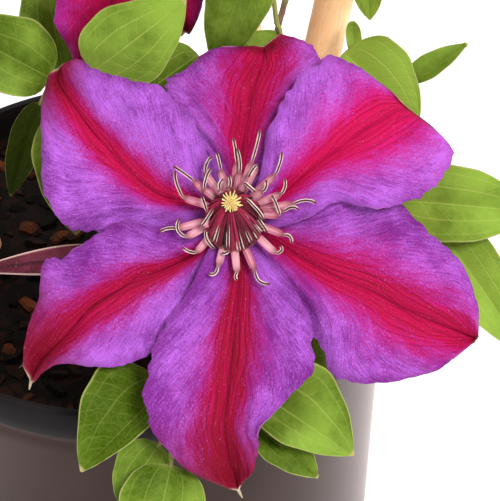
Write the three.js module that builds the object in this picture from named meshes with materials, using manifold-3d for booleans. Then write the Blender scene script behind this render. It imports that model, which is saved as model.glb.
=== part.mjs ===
// A large-flowered clematis in a plastic pot, climbing a fan trellis of bamboo canes.
// Millimetres, +Z up. The origin is the centre of the pot's underside and the front is -Y.
import * as THREE from 'three';
import { mergeVertices } from 'three/addons/utils/BufferGeometryUtils.js';
import Module from 'manifold-3d';

const wasm = await Module();
wasm.setup();

// ---- driving dimensions -------------------------------------------------------------------
const GAP = 0.3;                 // clearance between pieces that touch

const POT_HEIGHT = 165;
const RIM_RADIUS = 93;
const BASE_RADIUS = 87;
const WALL = 2.6;
const FLOOR = 3;
const COLLAR_HEIGHT = 13;        // the thicker band round the top
const DRAIN_RADIUS = 5;
const DRAIN_RING = 52;

const SOIL_DEPTH = 15;           // soil level below the rim
const SOIL_TOP = POT_HEIGHT - SOIL_DEPTH;
const SOIL_RELIEF = 2.2;

const CANE_RADIUS = 6.5;
const CANE_SIDES = 10;
const CANE_ROOT = 110;           // length of cane in the soil
const CANE_TOP = 595;
const FAN_Y = 29;                // the fan stands behind the pot's centre line
const FAN_FOOT = 54;             // half the distance between the outer canes' feet
const FAN_SLOPE = 0.167;         // outward lean of the outer canes, sideways per height
const RUNG_RADIUS = 4;
const RUNG_Y = FAN_Y - CANE_RADIUS - RUNG_RADIUS - GAP;
const RUNG_HEIGHTS = { low: 290, middle: 410, top: 530 };
const RUNG_OVERHANG = 17;
const CORD_RADIUS = 1.1;         // twine of the ties

const PLANT_PLACE = new THREE.Vector3(-1, -16, 0); // the plant stands forward in its pot
const STEM_RADIUS = 1.8;
const STEM_STEPS = 3;            // straight lengths between two points that a stem passes
const PETIOLE_RADIUS = 0.8;
const BLADE = 0.8;               // thickness of leaves and tepals
const SEAM_TOLERANCE = 0.03;     // how far a vertex may move when needless ones are dropped
const FACE_TILT = 40;            // leaves and blooms turn this many degrees up to the light

// ---- frames and random draws --------------------------------------------------------------
const TILT_SIN = Math.sin(THREE.MathUtils.degToRad(FACE_TILT));
const TILT_COS = Math.cos(THREE.MathUtils.degToRad(FACE_TILT));
const FACE_NORMAL = new THREE.Vector3(0, -TILT_COS, TILT_SIN);

/** A point across, up and out on the plant's lit face, measured from the height of the rim. */
function face(across, up, out) {
  return new THREE.Vector3(
    across,
    up * TILT_SIN - out * TILT_COS,
    POT_HEIGHT + up * TILT_COS + out * TILT_SIN,
  );
}

const at = (x, y, z) => new THREE.Vector3(x, y, z);

/** A repeatable stream of numbers from 0 to 1. */
function seeded(seed) {
  let state = seed;
  return () => {
    state = (state * 1664525 + 1013904223) % 4294967296;
    return state / 4294967296;
  };
}

const smooth = (low, high, x) => THREE.MathUtils.smoothstep(x, low, high);

// ---- solids -------------------------------------------------------------------------------
function toManifold(geometry) {
  const bare = geometry.clone();
  bare.deleteAttribute('normal');
  bare.deleteAttribute('uv');
  const merged = mergeVertices(bare, 1e-4);
  const vertProperties = new Float32Array(merged.attributes.position.array);
  const triVerts = new Uint32Array(merged.index.array);
  return new wasm.Manifold(new wasm.Mesh({ numProp: 3, vertProperties, triVerts }));
}

function fromManifold(solid) {
  const mesh = solid.getMesh();
  const geometry = new THREE.BufferGeometry();
  geometry.setAttribute('position', new THREE.BufferAttribute(mesh.vertProperties, 3));
  geometry.setIndex(new THREE.BufferAttribute(mesh.triVerts, 1));
  return geometry;
}

/** Joins closed geometries in one solid, without the needless vertices along its seams. */
function fuse(geometries) {
  let solid = toManifold(geometries[0]);
  for (const geometry of geometries.slice(1)) {
    solid = solid.add(toManifold(geometry));
  }
  return fromManifold(solid.asOriginal().simplify(SEAM_TOLERANCE));
}

function cut(geometry, tools) {
  let solid = toManifold(geometry);
  for (const tool of tools) {
    solid = solid.subtract(toManifold(tool));
  }
  return fromManifold(solid);
}

function geometryOf(points, faces) {
  const geometry = new THREE.BufferGeometry();
  const numbers = new Float32Array(points.flatMap((point) => [point.x, point.y, point.z]));
  geometry.setAttribute('position', new THREE.BufferAttribute(numbers, 3));
  geometry.setIndex(faces.flat());
  return geometry;
}

/** A thin blade round a grid of points, with the same triangles on both its faces. */
function blade(grid, thickness = () => BLADE) {
  const rows = grid.length;
  const columns = grid[0].length;
  const upper = [];
  const lower = [];
  for (let i = 0; i < rows; i += 1) {
    for (let j = 0; j < columns; j += 1) {
      const along = grid[Math.min(i + 1, rows - 1)][j].clone().sub(grid[Math.max(i - 1, 0)][j]);
      const across = grid[i][Math.min(j + 1, columns - 1)].clone();
      across.sub(grid[i][Math.max(j - 1, 0)]);
      const normal = across.cross(along).normalize().multiplyScalar(thickness(i) / 2);
      upper.push(grid[i][j].clone().add(normal));
      lower.push(grid[i][j].clone().sub(normal));
    }
  }
  const top = (i, j) => i * columns + j;
  const bottom = (i, j) => rows * columns + top(i, j);
  const faces = [];
  for (let i = 0; i + 1 < rows; i += 1) {
    for (let j = 0; j + 1 < columns; j += 1) {
      faces.push([top(i, j), top(i, j + 1), top(i + 1, j + 1)]);
      faces.push([top(i, j), top(i + 1, j + 1), top(i + 1, j)]);
      faces.push([bottom(i, j), bottom(i + 1, j + 1), bottom(i, j + 1)]);
      faces.push([bottom(i, j), bottom(i + 1, j), bottom(i + 1, j + 1)]);
    }
  }
  const rim = [];
  for (let j = 0; j + 1 < columns; j += 1) {
    rim.push([0, j]);
  }
  for (let i = 0; i + 1 < rows; i += 1) {
    rim.push([i, columns - 1]);
  }
  for (let j = columns - 1; j > 0; j -= 1) {
    rim.push([rows - 1, j]);
  }
  for (let i = rows - 1; i > 0; i -= 1) {
    rim.push([i, 0]);
  }
  rim.forEach(([i, j], place) => {
    const [nextI, nextJ] = rim[(place + 1) % rim.length];
    faces.push([top(i, j), bottom(i, j), bottom(nextI, nextJ)]);
    faces.push([top(i, j), bottom(nextI, nextJ), top(nextI, nextJ)]);
  });
  return geometryOf([...upper, ...lower], faces);
}

/** A closed body of rings between two poles; shape(turn, rise) runs from 0 to 1 both ways. */
function rounded(sectors, rings, shape) {
  const points = [shape(0, 0)];
  for (let ring = 1; ring < rings; ring += 1) {
    for (let sector = 0; sector < sectors; sector += 1) {
      points.push(shape(sector / sectors, ring / rings));
    }
  }
  points.push(shape(0, 1));
  const last = points.length - 1;
  const place = (ring, sector) => 1 + (ring - 1) * sectors + (sector % sectors);
  const faces = [];
  for (let sector = 0; sector < sectors; sector += 1) {
    faces.push([0, place(1, sector + 1), place(1, sector)]);
    faces.push([last, place(rings - 1, sector), place(rings - 1, sector + 1)]);
    for (let ring = 1; ring + 1 < rings; ring += 1) {
      const [a, b] = [place(ring, sector), place(ring, sector + 1)];
      const [c, d] = [place(ring + 1, sector + 1), place(ring + 1, sector)];
      faces.push([a, b, c], [a, c, d]);
    }
  }
  return geometryOf(points, faces);
}

/** A stem along a curve through the points, as a rod with the number of sides given. */
function tube(points, radius, sides) {
  const outline = Array.from({ length: sides }, (_, side) => {
    const angle = (2 * Math.PI * side) / sides;
    return new THREE.Vector2(radius * Math.cos(angle), radius * Math.sin(angle));
  });
  return new THREE.ExtrudeGeometry(new THREE.Shape(outline), {
    steps: STEM_STEPS * (points.length - 1),
    bevelEnabled: false,
    extrudePath: new THREE.CatmullRomCurve3(points),
  });
}

/** A flat strap through the points, as wide at each as widths says. */
function strap(points, widths, normal) {
  const grid = points.map((point, i) => {
    const next = points[Math.min(i + 1, points.length - 1)];
    const along = next.clone().sub(points[Math.max(i - 1, 0)]);
    const side = along.cross(normal).normalize().multiplyScalar(widths[i] / 2);
    return [point.clone().sub(side), point.clone().add(side)];
  });
  return blade(grid);
}

/** Turns a mesh so that its own Z points along direction, and stands it at place. */
function stand(mesh, place, direction) {
  mesh.position.copy(place);
  mesh.quaternion.setFromUnitVectors(at(0, 0, 1), direction.clone().normalize());
  return mesh;
}

const plant = new THREE.Group();
const climber = new THREE.Group();
climber.position.copy(PLANT_PLACE);
plant.add(climber);

function part(name, geometry, finish, group = climber) {
  const mesh = new THREE.Mesh(geometry, new THREE.MeshStandardMaterial(finish));
  mesh.name = name;
  group.add(mesh);
  return mesh;
}

const FINISH = {
  pot: { color: 0x5c4d4c, roughness: 0.45, metalness: 0 },
  soil: { color: 0x2a1a10, roughness: 0.95, metalness: 0 },
  cane: { color: 0xebb886, roughness: 0.5, metalness: 0 },
  twine: { color: 0x9a7b4f, roughness: 0.9, metalness: 0 },
  leaf: { color: 0x778e30, roughness: 0.6, metalness: 0 },
  tepal: { color: 0xa848b8, roughness: 0.55, metalness: 0 },
  stamen: { color: 0xb36d86, roughness: 0.6, metalness: 0 },
  style: { color: 0xecca8a, roughness: 0.6, metalness: 0 },
  bud: { color: 0x7a2a46, roughness: 0.6, metalness: 0 },
};

// ---- pot ----------------------------------------------------------------------------------
const wallSlope = (RIM_RADIUS - 1.5 - BASE_RADIUS) / POT_HEIGHT;
const outerWall = (z) => BASE_RADIUS + wallSlope * z;
const innerWall = (z) => outerWall(z) - WALL;

function pot() {
  const collar = POT_HEIGHT - COLLAR_HEIGHT;
  const profile = [
    [0, 0], [BASE_RADIUS - 1.5, 0], [outerWall(1.5), 1.5], [outerWall(collar), collar],
    [RIM_RADIUS - 0.4, collar + 2], [RIM_RADIUS, POT_HEIGHT - 2], [RIM_RADIUS - 1.2, POT_HEIGHT],
    [RIM_RADIUS - 3.2, POT_HEIGHT], [innerWall(POT_HEIGHT - 3), POT_HEIGHT - 3],
    [innerWall(FLOOR + 2), FLOOR + 2], [innerWall(0) - 2, FLOOR], [0, FLOOR],
  ].map(([radius, z]) => new THREE.Vector2(radius, z));
  const shell = new THREE.LatheGeometry(profile, 32).rotateX(Math.PI / 2);
  const drains = [0, 1, 2, 3].map((quarter) => {
    const angle = Math.PI / 4 + (quarter * Math.PI) / 2;
    const drain = new THREE.CylinderGeometry(DRAIN_RADIUS, DRAIN_RADIUS, 4 * FLOOR, 8);
    drain.rotateX(Math.PI / 2);
    return drain.translate(DRAIN_RING * Math.cos(angle), DRAIN_RING * Math.sin(angle), 0);
  });
  part('pot', cut(shell, drains), FINISH.pot, plant);
}

// ---- trellis ------------------------------------------------------------------------------
/** A bamboo cane along its own Z, with a raised knot at each distance listed. */
function caneGeometry(length, radius, knots, sides) {
  const profile = [[0, 0], [radius - 0.5, 0], [radius, 0.7]];
  for (const knot of knots) {
    profile.push([radius, knot - 3], [radius + 0.7, knot], [radius, knot + 1.6]);
  }
  profile.push([radius, length - 0.7], [radius - 0.5, length], [0, length]);
  const points = profile.map(([x, y]) => new THREE.Vector2(x, y));
  return new THREE.LatheGeometry(points, sides).rotateX(Math.PI / 2);
}

/** Where each cane leaves the soil, which way it leans, and the places of its knots. */
const CANES = {
  cane_left: { foot: at(-FAN_FOOT, FAN_Y, SOIL_TOP), lean: at(-FAN_SLOPE, 0, 1), knots: [150, 128] },
  cane_middle: { foot: at(0, FAN_Y, SOIL_TOP), lean: at(0, 0, 1), knots: [130, 140] },
  cane_right: { foot: at(FAN_FOOT, FAN_Y, SOIL_TOP), lean: at(FAN_SLOPE, 0, 1), knots: [176, 128] },
  cane_front: {
    foot: at(69, -17, SOIL_TOP), lean: at(-36, 24.2, 140), knots: [62, 200], top: 303, root: 9,
  },
};

function canePlace({ foot, lean, top = CANE_TOP, root = CANE_ROOT }) {
  const step = lean.clone().divideScalar(lean.z);
  const start = foot.clone().addScaledVector(step, -root);
  const length = (top - start.z) * step.length();
  return { start, direction: step.normalize(), length };
}

function canes() {
  for (const [name, cane] of Object.entries(CANES)) {
    const { start, direction, length } = canePlace(cane);
    const [first, spacing] = cane.knots;
    const knots = [];
    for (let knot = first; knot < length - 10; knot += spacing) {
      knots.push(knot);
    }
    const mesh = part(name, caneGeometry(length, CANE_RADIUS, knots, CANE_SIDES), FINISH.cane);
    stand(mesh, start, direction);
  }
}

const fanX = (z) => FAN_FOOT + FAN_SLOPE * (z - SOIL_TOP);

function rungs() {
  for (const [name, z] of Object.entries(RUNG_HEIGHTS)) {
    const half = fanX(z) + RUNG_OVERHANG;
    const knots = [0.55 * half, 1.5 * half];
    const mesh = part(`rung_${name}`, caneGeometry(2 * half, RUNG_RADIUS, knots, 8), FINISH.cane);
    stand(mesh, at(-half, RUNG_Y, z), at(1, 0, 0));
  }
}

/** A loop of twine laid aslant round two round rods that cross one behind the other. */
function tie(name, place, back, front) {
  const steps = 10;
  const slant = back.axis.clone().normalize().add(front.axis.clone().normalize()).normalize();
  const clear = CORD_RADIUS + 3 * GAP;
  const rods = [back, front].map(({ y, radius, axis }) => (
    { y, deep: radius, wide: radius / slant.clone().cross(axis.clone().normalize()).length() }
  ));
  const points = [];
  for (let step = 0; step < steps; step += 1) {
    const angle = (2 * Math.PI * step) / steps;
    const [side, depth] = [Math.cos(angle), Math.sin(angle)];
    const reaches = rods.map((rod) => Math.hypot(rod.wide * side, rod.deep * depth) + rod.y * depth);
    const rod = rods[reaches[0] > reaches[1] ? 0 : 1];
    const size = Math.hypot(rod.wide * side, rod.deep * depth);
    const point = place.clone().addScaledVector(slant, (rod.wide ** 2 * side) / size + clear * side);
    points.push(point.setY(rod.y + (rod.deep ** 2 * depth) / size + clear * depth));
  }
  part(name, closedCord(points), FINISH.twine);
}

/** A closed ring of cord through points that lie in one plane. */
function closedCord(points) {
  const sides = 4;
  const count = points.length;
  const middle = points.reduce((sum, point) => sum.add(point), at(0, 0, 0)).divideScalar(count);
  const plane = points[0].clone().sub(middle).cross(points[3].clone().sub(middle)).normalize();
  const ring = [];
  const faces = [];
  points.forEach((point, i) => {
    const along = points[(i + 1) % count].clone().sub(points[(i + count - 1) % count]);
    const out = along.cross(plane).normalize();
    for (let side = 0; side < sides; side += 1) {
      const angle = (2 * Math.PI * side) / sides;
      const place = point.clone().addScaledVector(out, CORD_RADIUS * Math.cos(angle));
      ring.push(place.addScaledVector(plane, CORD_RADIUS * Math.sin(angle)));
      const [next, nextSide] = [(i + 1) % count, (side + 1) % sides];
      const corners = [i * sides + side, i * sides + nextSide];
      const beyond = [next * sides + side, next * sides + nextSide];
      faces.push([corners[0], beyond[1], corners[1]], [corners[0], beyond[0], beyond[1]]);
    }
  });
  return geometryOf(ring, faces);
}

function ties() {
  for (const [level, z] of Object.entries(RUNG_HEIGHTS)) {
    const rung = { y: RUNG_Y, radius: RUNG_RADIUS, axis: at(1, 0, 0) };
    for (const [name, side] of [['left', -1], ['middle', 0], ['right', 1]]) {
      const cane = { y: FAN_Y, radius: CANE_RADIUS, axis: at(side * FAN_SLOPE, 0, 1) };
      tie(`tie_${level}_${name}`, at(side * fanX(z), FAN_Y, z), cane, rung);
    }
  }
  const { foot, lean } = CANES.cane_front;
  const crossing = foot.clone().addScaledVector(lean, (RUNG_HEIGHTS.low - foot.z) / lean.z);
  const rung = { y: RUNG_Y, radius: RUNG_RADIUS, axis: at(-1, 0, 0) };
  const cane = { y: crossing.y - 0.6, radius: CANE_RADIUS + 0.9, axis: at(lean.x, 0, lean.z) };
  tie('tie_front', crossing, rung, cane);
}

// ---- leaves -------------------------------------------------------------------------------
const LEAF_ROWS = 5;
const LEAF_SHOULDER = 0.45;      // how fast the blade widens from its base
const LEAF_TAPER = 0.85;         // how fast it narrows to its tip
const STALK_STEPS = 2;
const STALK_THICKNESS = 1.3;

function leafWidth(t) {
  const widest = LEAF_SHOULDER / (LEAF_SHOULDER + LEAF_TAPER);
  const peak = widest ** LEAF_SHOULDER * (1 - widest) ** LEAF_TAPER;
  return (t ** LEAF_SHOULDER * (1 - t) ** LEAF_TAPER) / peak;
}

/** An ovate leaf on the stalk from its node: fold lifts its halves, sides sets how broad each is. */
function leaf({
  node, base, tip, width, fold = 0.3, arch = 0.1, sides = [1, 1], facing = FACE_NORMAL,
}) {
  const axis = tip.clone().sub(base);
  const length = axis.length();
  axis.normalize();
  const normal = facing.clone().addScaledVector(axis, -facing.dot(axis)).normalize();
  const side = axis.clone().cross(normal);
  const grid = [];
  for (let row = 0; row <= LEAF_ROWS; row += 1) {
    const t = row / LEAF_ROWS;
    const half = Math.max((leafWidth(Math.min(t, 0.985)) * width) / 2, PETIOLE_RADIUS);
    const rib = base.clone().addScaledVector(axis, t * length);
    rib.addScaledVector(normal, arch * length * Math.sin(Math.PI * t));
    grid.push([-1, 0, 1].map((v) => {
      const reach = half * (v < 0 ? sides[0] : sides[1]);
      const edge = rib.clone().addScaledVector(side, v * reach);
      return edge.addScaledVector(normal, row ? fold * Math.abs(v) * half : 0);
    }));
  }
  const bow = node.clone().lerp(base, 0.5).add(at(0, 0, 0.12 * node.distanceTo(base)));
  const stalk = new THREE.CatmullRomCurve3([node, bow, base]);
  for (let step = STALK_STEPS - 1; step >= 0; step -= 1) {
    const along = stalk.getTangent(step / STALK_STEPS);
    side.addScaledVector(along, -side.dot(along)).normalize();
    const point = stalk.getPoint(step / STALK_STEPS);
    grid.unshift([-1, 0, 1].map((v) => point.clone().addScaledVector(side, v * PETIOLE_RADIUS)));
  }
  return blade(grid, (row) => (row <= STALK_STEPS ? STALK_THICKNESS : BLADE));
}

// ---- blooms -------------------------------------------------------------------------------
// Each row of a tepal gives, in millimetres from the bloom's centre, a point on its first edge,
// one on its bar and one on its second edge: [x, y, x, y, x, y], x to the right and y up.
const MAIN_TEPALS = [
  {
    // upper left
    height: 0, lifts: [3, -2], rise: 3, puff: 3, reflex: 3, ripple: 1.2, phase: 0.5,
    rows: [
      [-2, 5, -1, 1, -2, -2], [-6, 13, -11, 4, -21, -5], [-10, 26, -22, 6, -33, -5],
      [-16, 35, -31, 13, -42, -5], [-25, 40, -39, 21, -51, -3], [-35, 42, -45, 28, -58, 7],
      [-42, 45, -50, 35, -59, 20], [-48, 48, -54, 41, -59, 35], [-52, 47, -54, 46, -57, 44],
    ],
  },
  {
    // top
    height: -2.6, lifts: [-3, -3], rise: 3, puff: 2, reflex: 4, ripple: 1.4, phase: 2,
    rows: [
      [-3, 3, 0, 3, 4, 3], [-6, 12, 2, 12, 9, 11], [-13, 23, 3, 20, 16, 20],
      [-19, 34, 5, 30, 22, 30], [-20, 42, 7, 39, 27, 39], [-14, 46, 9, 46, 28, 48],
      [-6, 52, 10, 50, 23, 54], [6, 53, 10, 53, 15, 57],
    ],
  },
  {
    // upper right
    height: 0.8, lifts: [3, 3], rise: 3, puff: 3, reflex: 7, ripple: 1, phase: 1,
    rows: [
      [2, 3, 3, 2, 4, -2], [8, 10, 12, 4, 13, -4], [10, 20, 20, 10, 23, -1],
      [13, 30, 27, 16, 33, 4], [18, 39, 35, 22, 44, 2], [25, 45, 42, 27, 55, 4],
      [31, 49, 48, 31, 63, 10], [39, 46, 53, 33, 69, 19], [49, 39, 56, 33, 63, 27],
    ],
  },
  {
    // lower right
    height: -2.6, lifts: [-3, -3], rise: 3, puff: 3, reflex: 4, ripple: 1.2, phase: 4,
    rows: [
      [4, 2, 4, -2, 1, -5], [13, 2, 12, -7, 5, -14], [26, 5, 21, -13, 13, -24],
      [39, 6.5, 32, -19, 22, -32], [51, 4.2, 44, -24, 28, -41], [62, -5, 53, -29, 33, -51],
      [71, -15, 62, -33, 48, -52], [76, -26, 70, -36, 62, -49], [77, -34, 75, -38, 70, -44],
      [77, -37, 77, -39, 75, -40],
    ],
  },
  {
    // bottom
    height: 1.6, lifts: [3, 2], rise: 3, puff: 2.5, reflex: 5, ripple: 1.2, phase: 0,
    rows: [
      [-2, -3, 1, -4, 3, -3], [-8, -12, 2, -13, 11, -13], [-13, -23, 2, -23, 21, -26],
      [-21, -34, 1, -34, 24, -34], [-25, -44, 0, -44, 25, -46], [-27, -55, -1, -55, 18, -56],
      [-25, -65, -2, -65, 9, -65], [-17, -76, -1, -75, 8, -73], [-8, -82, 1, -81, 6, -80],
      [-1, -85, 2, -86, 3, -83],
    ],
  },
  {
    // lower left
    height: 0.4, lifts: [3, -3], rise: 3, puff: 2.5, reflex: 5, ripple: 1.2, phase: 3,
    rows: [
      [-3, 1, -2, -2, -1, -5], [-11, -1, -8, -10, -6, -15], [-22, -4, -19, -16, -11, -26],
      [-33, -2, -29, -20, -19, -37], [-42, -6, -36, -24, -27, -44], [-51, -13, -44, -29, -36, -47],
      [-58, -15, -50, -36, -45, -47], [-60, -26, -55, -41, -52, -46], [-64, -38, -60, -46, -58, -48],
      [-65, -47, -63, -52, -62, -52],
    ],
  },
];

/** A tepal's rows by rule, for the blooms that turn away: an ellipse drawn out to a point. */
function plainTepal(angle, length, width, height, phase) {
  const along = at(Math.cos(angle), Math.sin(angle), 0);
  const across = at(-along.y, along.x, 0);
  const rows = [];
  for (let row = 0; row <= 7; row += 1) {
    const t = row / 7;
    const half = 1.5 + (width / 2 - 1.5) * Math.sin(Math.PI * Math.min(t * 1.03, 1) ** 1.1) ** 0.8;
    const rib = along.clone().multiplyScalar(3 + (length - 3) * t);
    const [first, second] = [half, -half].map((step) => rib.clone().addScaledVector(across, step));
    rows.push([first.x, first.y, rib.x, rib.y, second.x, second.y]);
  }
  return { height, lifts: [1, 1], rise: 3, puff: 1.5, reflex: 8, ripple: 1.4, phase, rows };
}

/** Six tepals by rule; every second one lies in the lower layer. */
function plainTepals(spread) {
  return spread.map(([degrees, length, width], i) => {
    const height = i % 2 ? -2.6 : 0.6;
    return plainTepal(THREE.MathUtils.degToRad(degrees), length, width, height, 1.7 * i);
  });
}

/** The tepal's surface height above the bloom's plane at t along it and v across it. */
function tepalHeight({ height, lifts, rise, puff, reflex, ripple, phase }, t, v) {
  const grown = smooth(0, 0.3, t);
  const lift = v < 0 ? lifts[0] : lifts[1];
  const rib = height + rise * Math.sin(Math.PI * t ** 0.8) - reflex * t ** 3;
  const vault = puff * Math.sin(Math.PI * Math.min(Math.abs(v) * 0.8, 1)) * grown;
  const margin = lift * v * v * grown * (1 - 0.5 * t);
  const wave = ripple * Math.abs(v) ** 3 * Math.sin(4 * Math.PI * t + phase) * grown;
  return rib + vault + margin + wave;
}

function tepal(spec, rows, columns) {
  const curves = [0, 2, 4].map((first) => {
    const points = spec.rows.map((row) => at(row[first], row[first + 1], 0));
    return new THREE.CatmullRomCurve3(points, false, 'catmullrom', 0.5);
  });
  const grid = [];
  for (let row = 0; row <= rows; row += 1) {
    const t = row / rows;
    const [first, rib, second] = curves.map((curve) => curve.getPoint(t));
    const line = [];
    for (let column = 0; column <= columns; column += 1) {
      const v = (2 * column) / columns - 1;
      const point = rib.clone().lerp(v < 0 ? first : second, Math.abs(v));
      line.push(point.setZ(tepalHeight(spec, t, v)));
    }
    grid.push(line.reverse());
  }
  return blade(grid);
}

const RECEPTACLE_DEPTH = 5;

/** The small disc under the flower where its tepals join. */
function receptacle() {
  return rounded(10, 4, (turn, rise) => {
    const angle = 2 * Math.PI * turn;
    const radius = 6 * Math.sin(Math.PI * rise) ** 0.6;
    return at(radius * Math.cos(angle), radius * Math.sin(angle), 8.5 * rise - RECEPTACLE_DEPTH);
  });
}

const STAMEN_FOOT = 3.8;         // height of the stamens' base above the bloom's plane
const DOME_RADIUS = 8.6;
const STYLE = { x: -0.3, y: 3.5, foot: 12.6, radius: 3, height: 3.4 };

// Tips of the spread stamens, in millimetres from the bloom's centre.
const MAIN_STAMENS = [
  [-18, 14.6], [-12, 11], [-6.2, 14.9], [-4.8, 19], [0.4, 23.6], [1.8, 20.2], [8.7, 26.7],
  [7.8, 15.2], [15.5, 19.4], [10.8, 10.7], [16, 10.8], [26, 4], [18.7, -8.8], [15.2, -12],
  [12, -21.4], [1.6, -20.3], [-7.2, -18], [-15.2, -10], [-22.2, -5.2], [-16, -1.2],
];

/** Stamen tips by rule, in a ring with a little seeded scatter. */
function plainStamens(count, seed) {
  const draw = seeded(seed);
  return Array.from({ length: count }, (_, i) => {
    const angle = (2 * Math.PI * (i + 0.5 * draw())) / count;
    const reach = 17 + 8 * draw();
    return [reach * Math.cos(angle), reach * Math.sin(angle)];
  });
}

/** One stamen: a broad flat filament that ends in a narrow anther. */
function stamen([x, y]) {
  const reach = Math.hypot(x, y);
  const along = at(x / reach, y / reach, 0);
  const up = 2.2 * along.y;
  const path = [[4.6, 0.9], [9.2, 2], [reach - 5, 5 + up], [reach, 5.4 + up]];
  const points = path.map(([out, rise]) => along.clone().multiplyScalar(out).setZ(STAMEN_FOOT + rise));
  return strap(points, [1.8, 1.9, 1.2, 0.8], at(0, 0, 1));
}

/** The low drum that the spread stamens grow from, under the dome. */
function stamenFoot() {
  const drum = new THREE.CylinderGeometry(6.4, 6.4, 2.6, 20).rotateX(Math.PI / 2);
  return drum.translate(0, 0, STAMEN_FOOT + 1.3);
}

/** The inner stamens, closed over the styles as a ribbed dome. */
function stamenDome(ribs) {
  const low = STAMEN_FOOT + 2.2;
  return rounded(2 * ribs, 4, (turn, rise) => {
    const angle = 2 * Math.PI * turn;
    const rib = Math.round(turn * 2 * ribs) % 2 ? 0.86 : 1;
    const swell = [0, 0.93, 1, 0.72, 0][Math.round(4 * rise)];
    const height = [0, 0.04, 0.35, 0.8, 1][Math.round(4 * rise)];
    const radius = DOME_RADIUS * rib * swell;
    return at(
      radius * Math.cos(angle),
      STYLE.y * height - 1 + radius * Math.sin(angle),
      low + (STYLE.foot - GAP - low) * height,
    );
  });
}

/** The tuft of styles, pale and spiky. */
function styleTuft() {
  const rays = 9;
  return rounded(2 * rays, 4, (turn, rise) => {
    const angle = 2 * Math.PI * turn;
    const ray = Math.round(turn * 2 * rays) % 2 ? 0.5 : 1;
    const radius = STYLE.radius * ray * Math.sin(Math.PI * rise) ** 0.8;
    const height = STYLE.foot + STYLE.height * rise + (ray === 1 && rise === 0.5 ? 0.6 : 0);
    return at(STYLE.x + radius * Math.cos(angle), STYLE.y + radius * Math.sin(angle), height);
  });
}

/** Where each bloom sits, which way it looks, and its tepals and stamens. */
const BLOOMS = {
  main: {
    centre: face(38, 15, 75), facing: FACE_NORMAL,
    tepals: MAIN_TEPALS, stamens: MAIN_STAMENS, rows: 9, ribs: 14,
  },
  upper: {
    centre: at(8, 2, 307), facing: at(0, -0.99, 0.14),
    tepals: plainTepals([
      [-103, 65, 34], [-73, 51, 26], [2, 60, 34], [56, 62, 34], [110, 60, 36], [166, 62, 34],
    ]),
    stamens: plainStamens(10, 5), rows: 5, ribs: 9,
  },
  left: {
    centre: at(-52, -12, 448), facing: at(-0.35, -0.9, 0.26),
    tepals: plainTepals([
      [80, 62, 36], [140, 60, 34], [196, 64, 36], [-98, 62, 34], [-40, 60, 36], [22, 62, 34],
    ]),
    stamens: plainStamens(10, 9), rows: 5, ribs: 9,
  },
};

function bloomFrame({ centre, facing }) {
  const out = facing.clone().normalize();
  const right = at(0, 0, 1).cross(out).normalize();
  const up = out.clone().cross(right);
  return new THREE.Matrix4().makeBasis(right, up, out).setPosition(centre);
}

function blooms() {
  for (const [name, bloom] of Object.entries(BLOOMS)) {
    const frame = bloomFrame(bloom);
    const tepals = bloom.tepals.map((spec) => tepal(spec, bloom.rows, 4));
    const stamens = bloom.stamens.map(stamen);
    part(`bloom_${name}_tepals`, fuse([receptacle(), ...tepals]).applyMatrix4(frame), FINISH.tepal);
    const heart = fuse([stamenFoot(), stamenDome(bloom.ribs), ...stamens]);
    part(`bloom_${name}_stamens`, heart.applyMatrix4(frame), FINISH.stamen);
    part(`bloom_${name}_styles`, styleTuft().applyMatrix4(frame), FINISH.style);
  }
}

// ---- buds ---------------------------------------------------------------------------------
/** A pointed bud, six-ribbed where the edges of its tepals meet. */
function bud(base, tip, width) {
  const axis = tip.clone().sub(base);
  const side = axis.clone().cross(FACE_NORMAL).normalize();
  const depth = axis.clone().cross(side).normalize();
  return rounded(12, 5, (turn, rise) => {
    const angle = 2 * Math.PI * turn;
    const seam = Math.round(turn * 12) % 2 ? 0.88 : 1;
    const swell = rise ** 0.55 * (1 - rise) ** 1.05 * 2.02;
    const radius = (width / 2) * seam * swell;
    const place = base.clone().addScaledVector(axis, rise);
    place.addScaledVector(side, radius * Math.cos(angle));
    return place.addScaledVector(depth, radius * Math.sin(angle));
  });
}

const BUDS = {
  side: { base: face(1, 2.5, 56), tip: face(-49, -3, 62), width: 13 },
  low: { base: face(-12, -19, 54), tip: face(-30, -33.5, 62), width: 7 },
  top: { base: at(16, 6, 545), tip: at(24, -16, 572), width: 13 },
  right: { base: at(99, 10, 505), tip: at(104, -20, 530), width: 12 },
};

function buds() {
  for (const [name, { base, tip, width }] of Object.entries(BUDS)) {
    part(`bud_${name}`, bud(base, tip, width), FINISH.bud);
  }
}

/** The end of the stalk that carries a bud, a gap short of it. */
function stalkEnd({ base, tip }) {
  return base.clone().addScaledVector(tip.clone().sub(base).normalize(), -GAP);
}

// ---- leafy stems --------------------------------------------------------------------------
/** The point just behind a bloom's disc where its stalk ends. */
function behindBloom({ centre, facing }, further = 0) {
  const back = RECEPTACLE_DEPTH + GAP + further;
  return centre.clone().addScaledVector(facing.clone().normalize(), -back);
}

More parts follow.
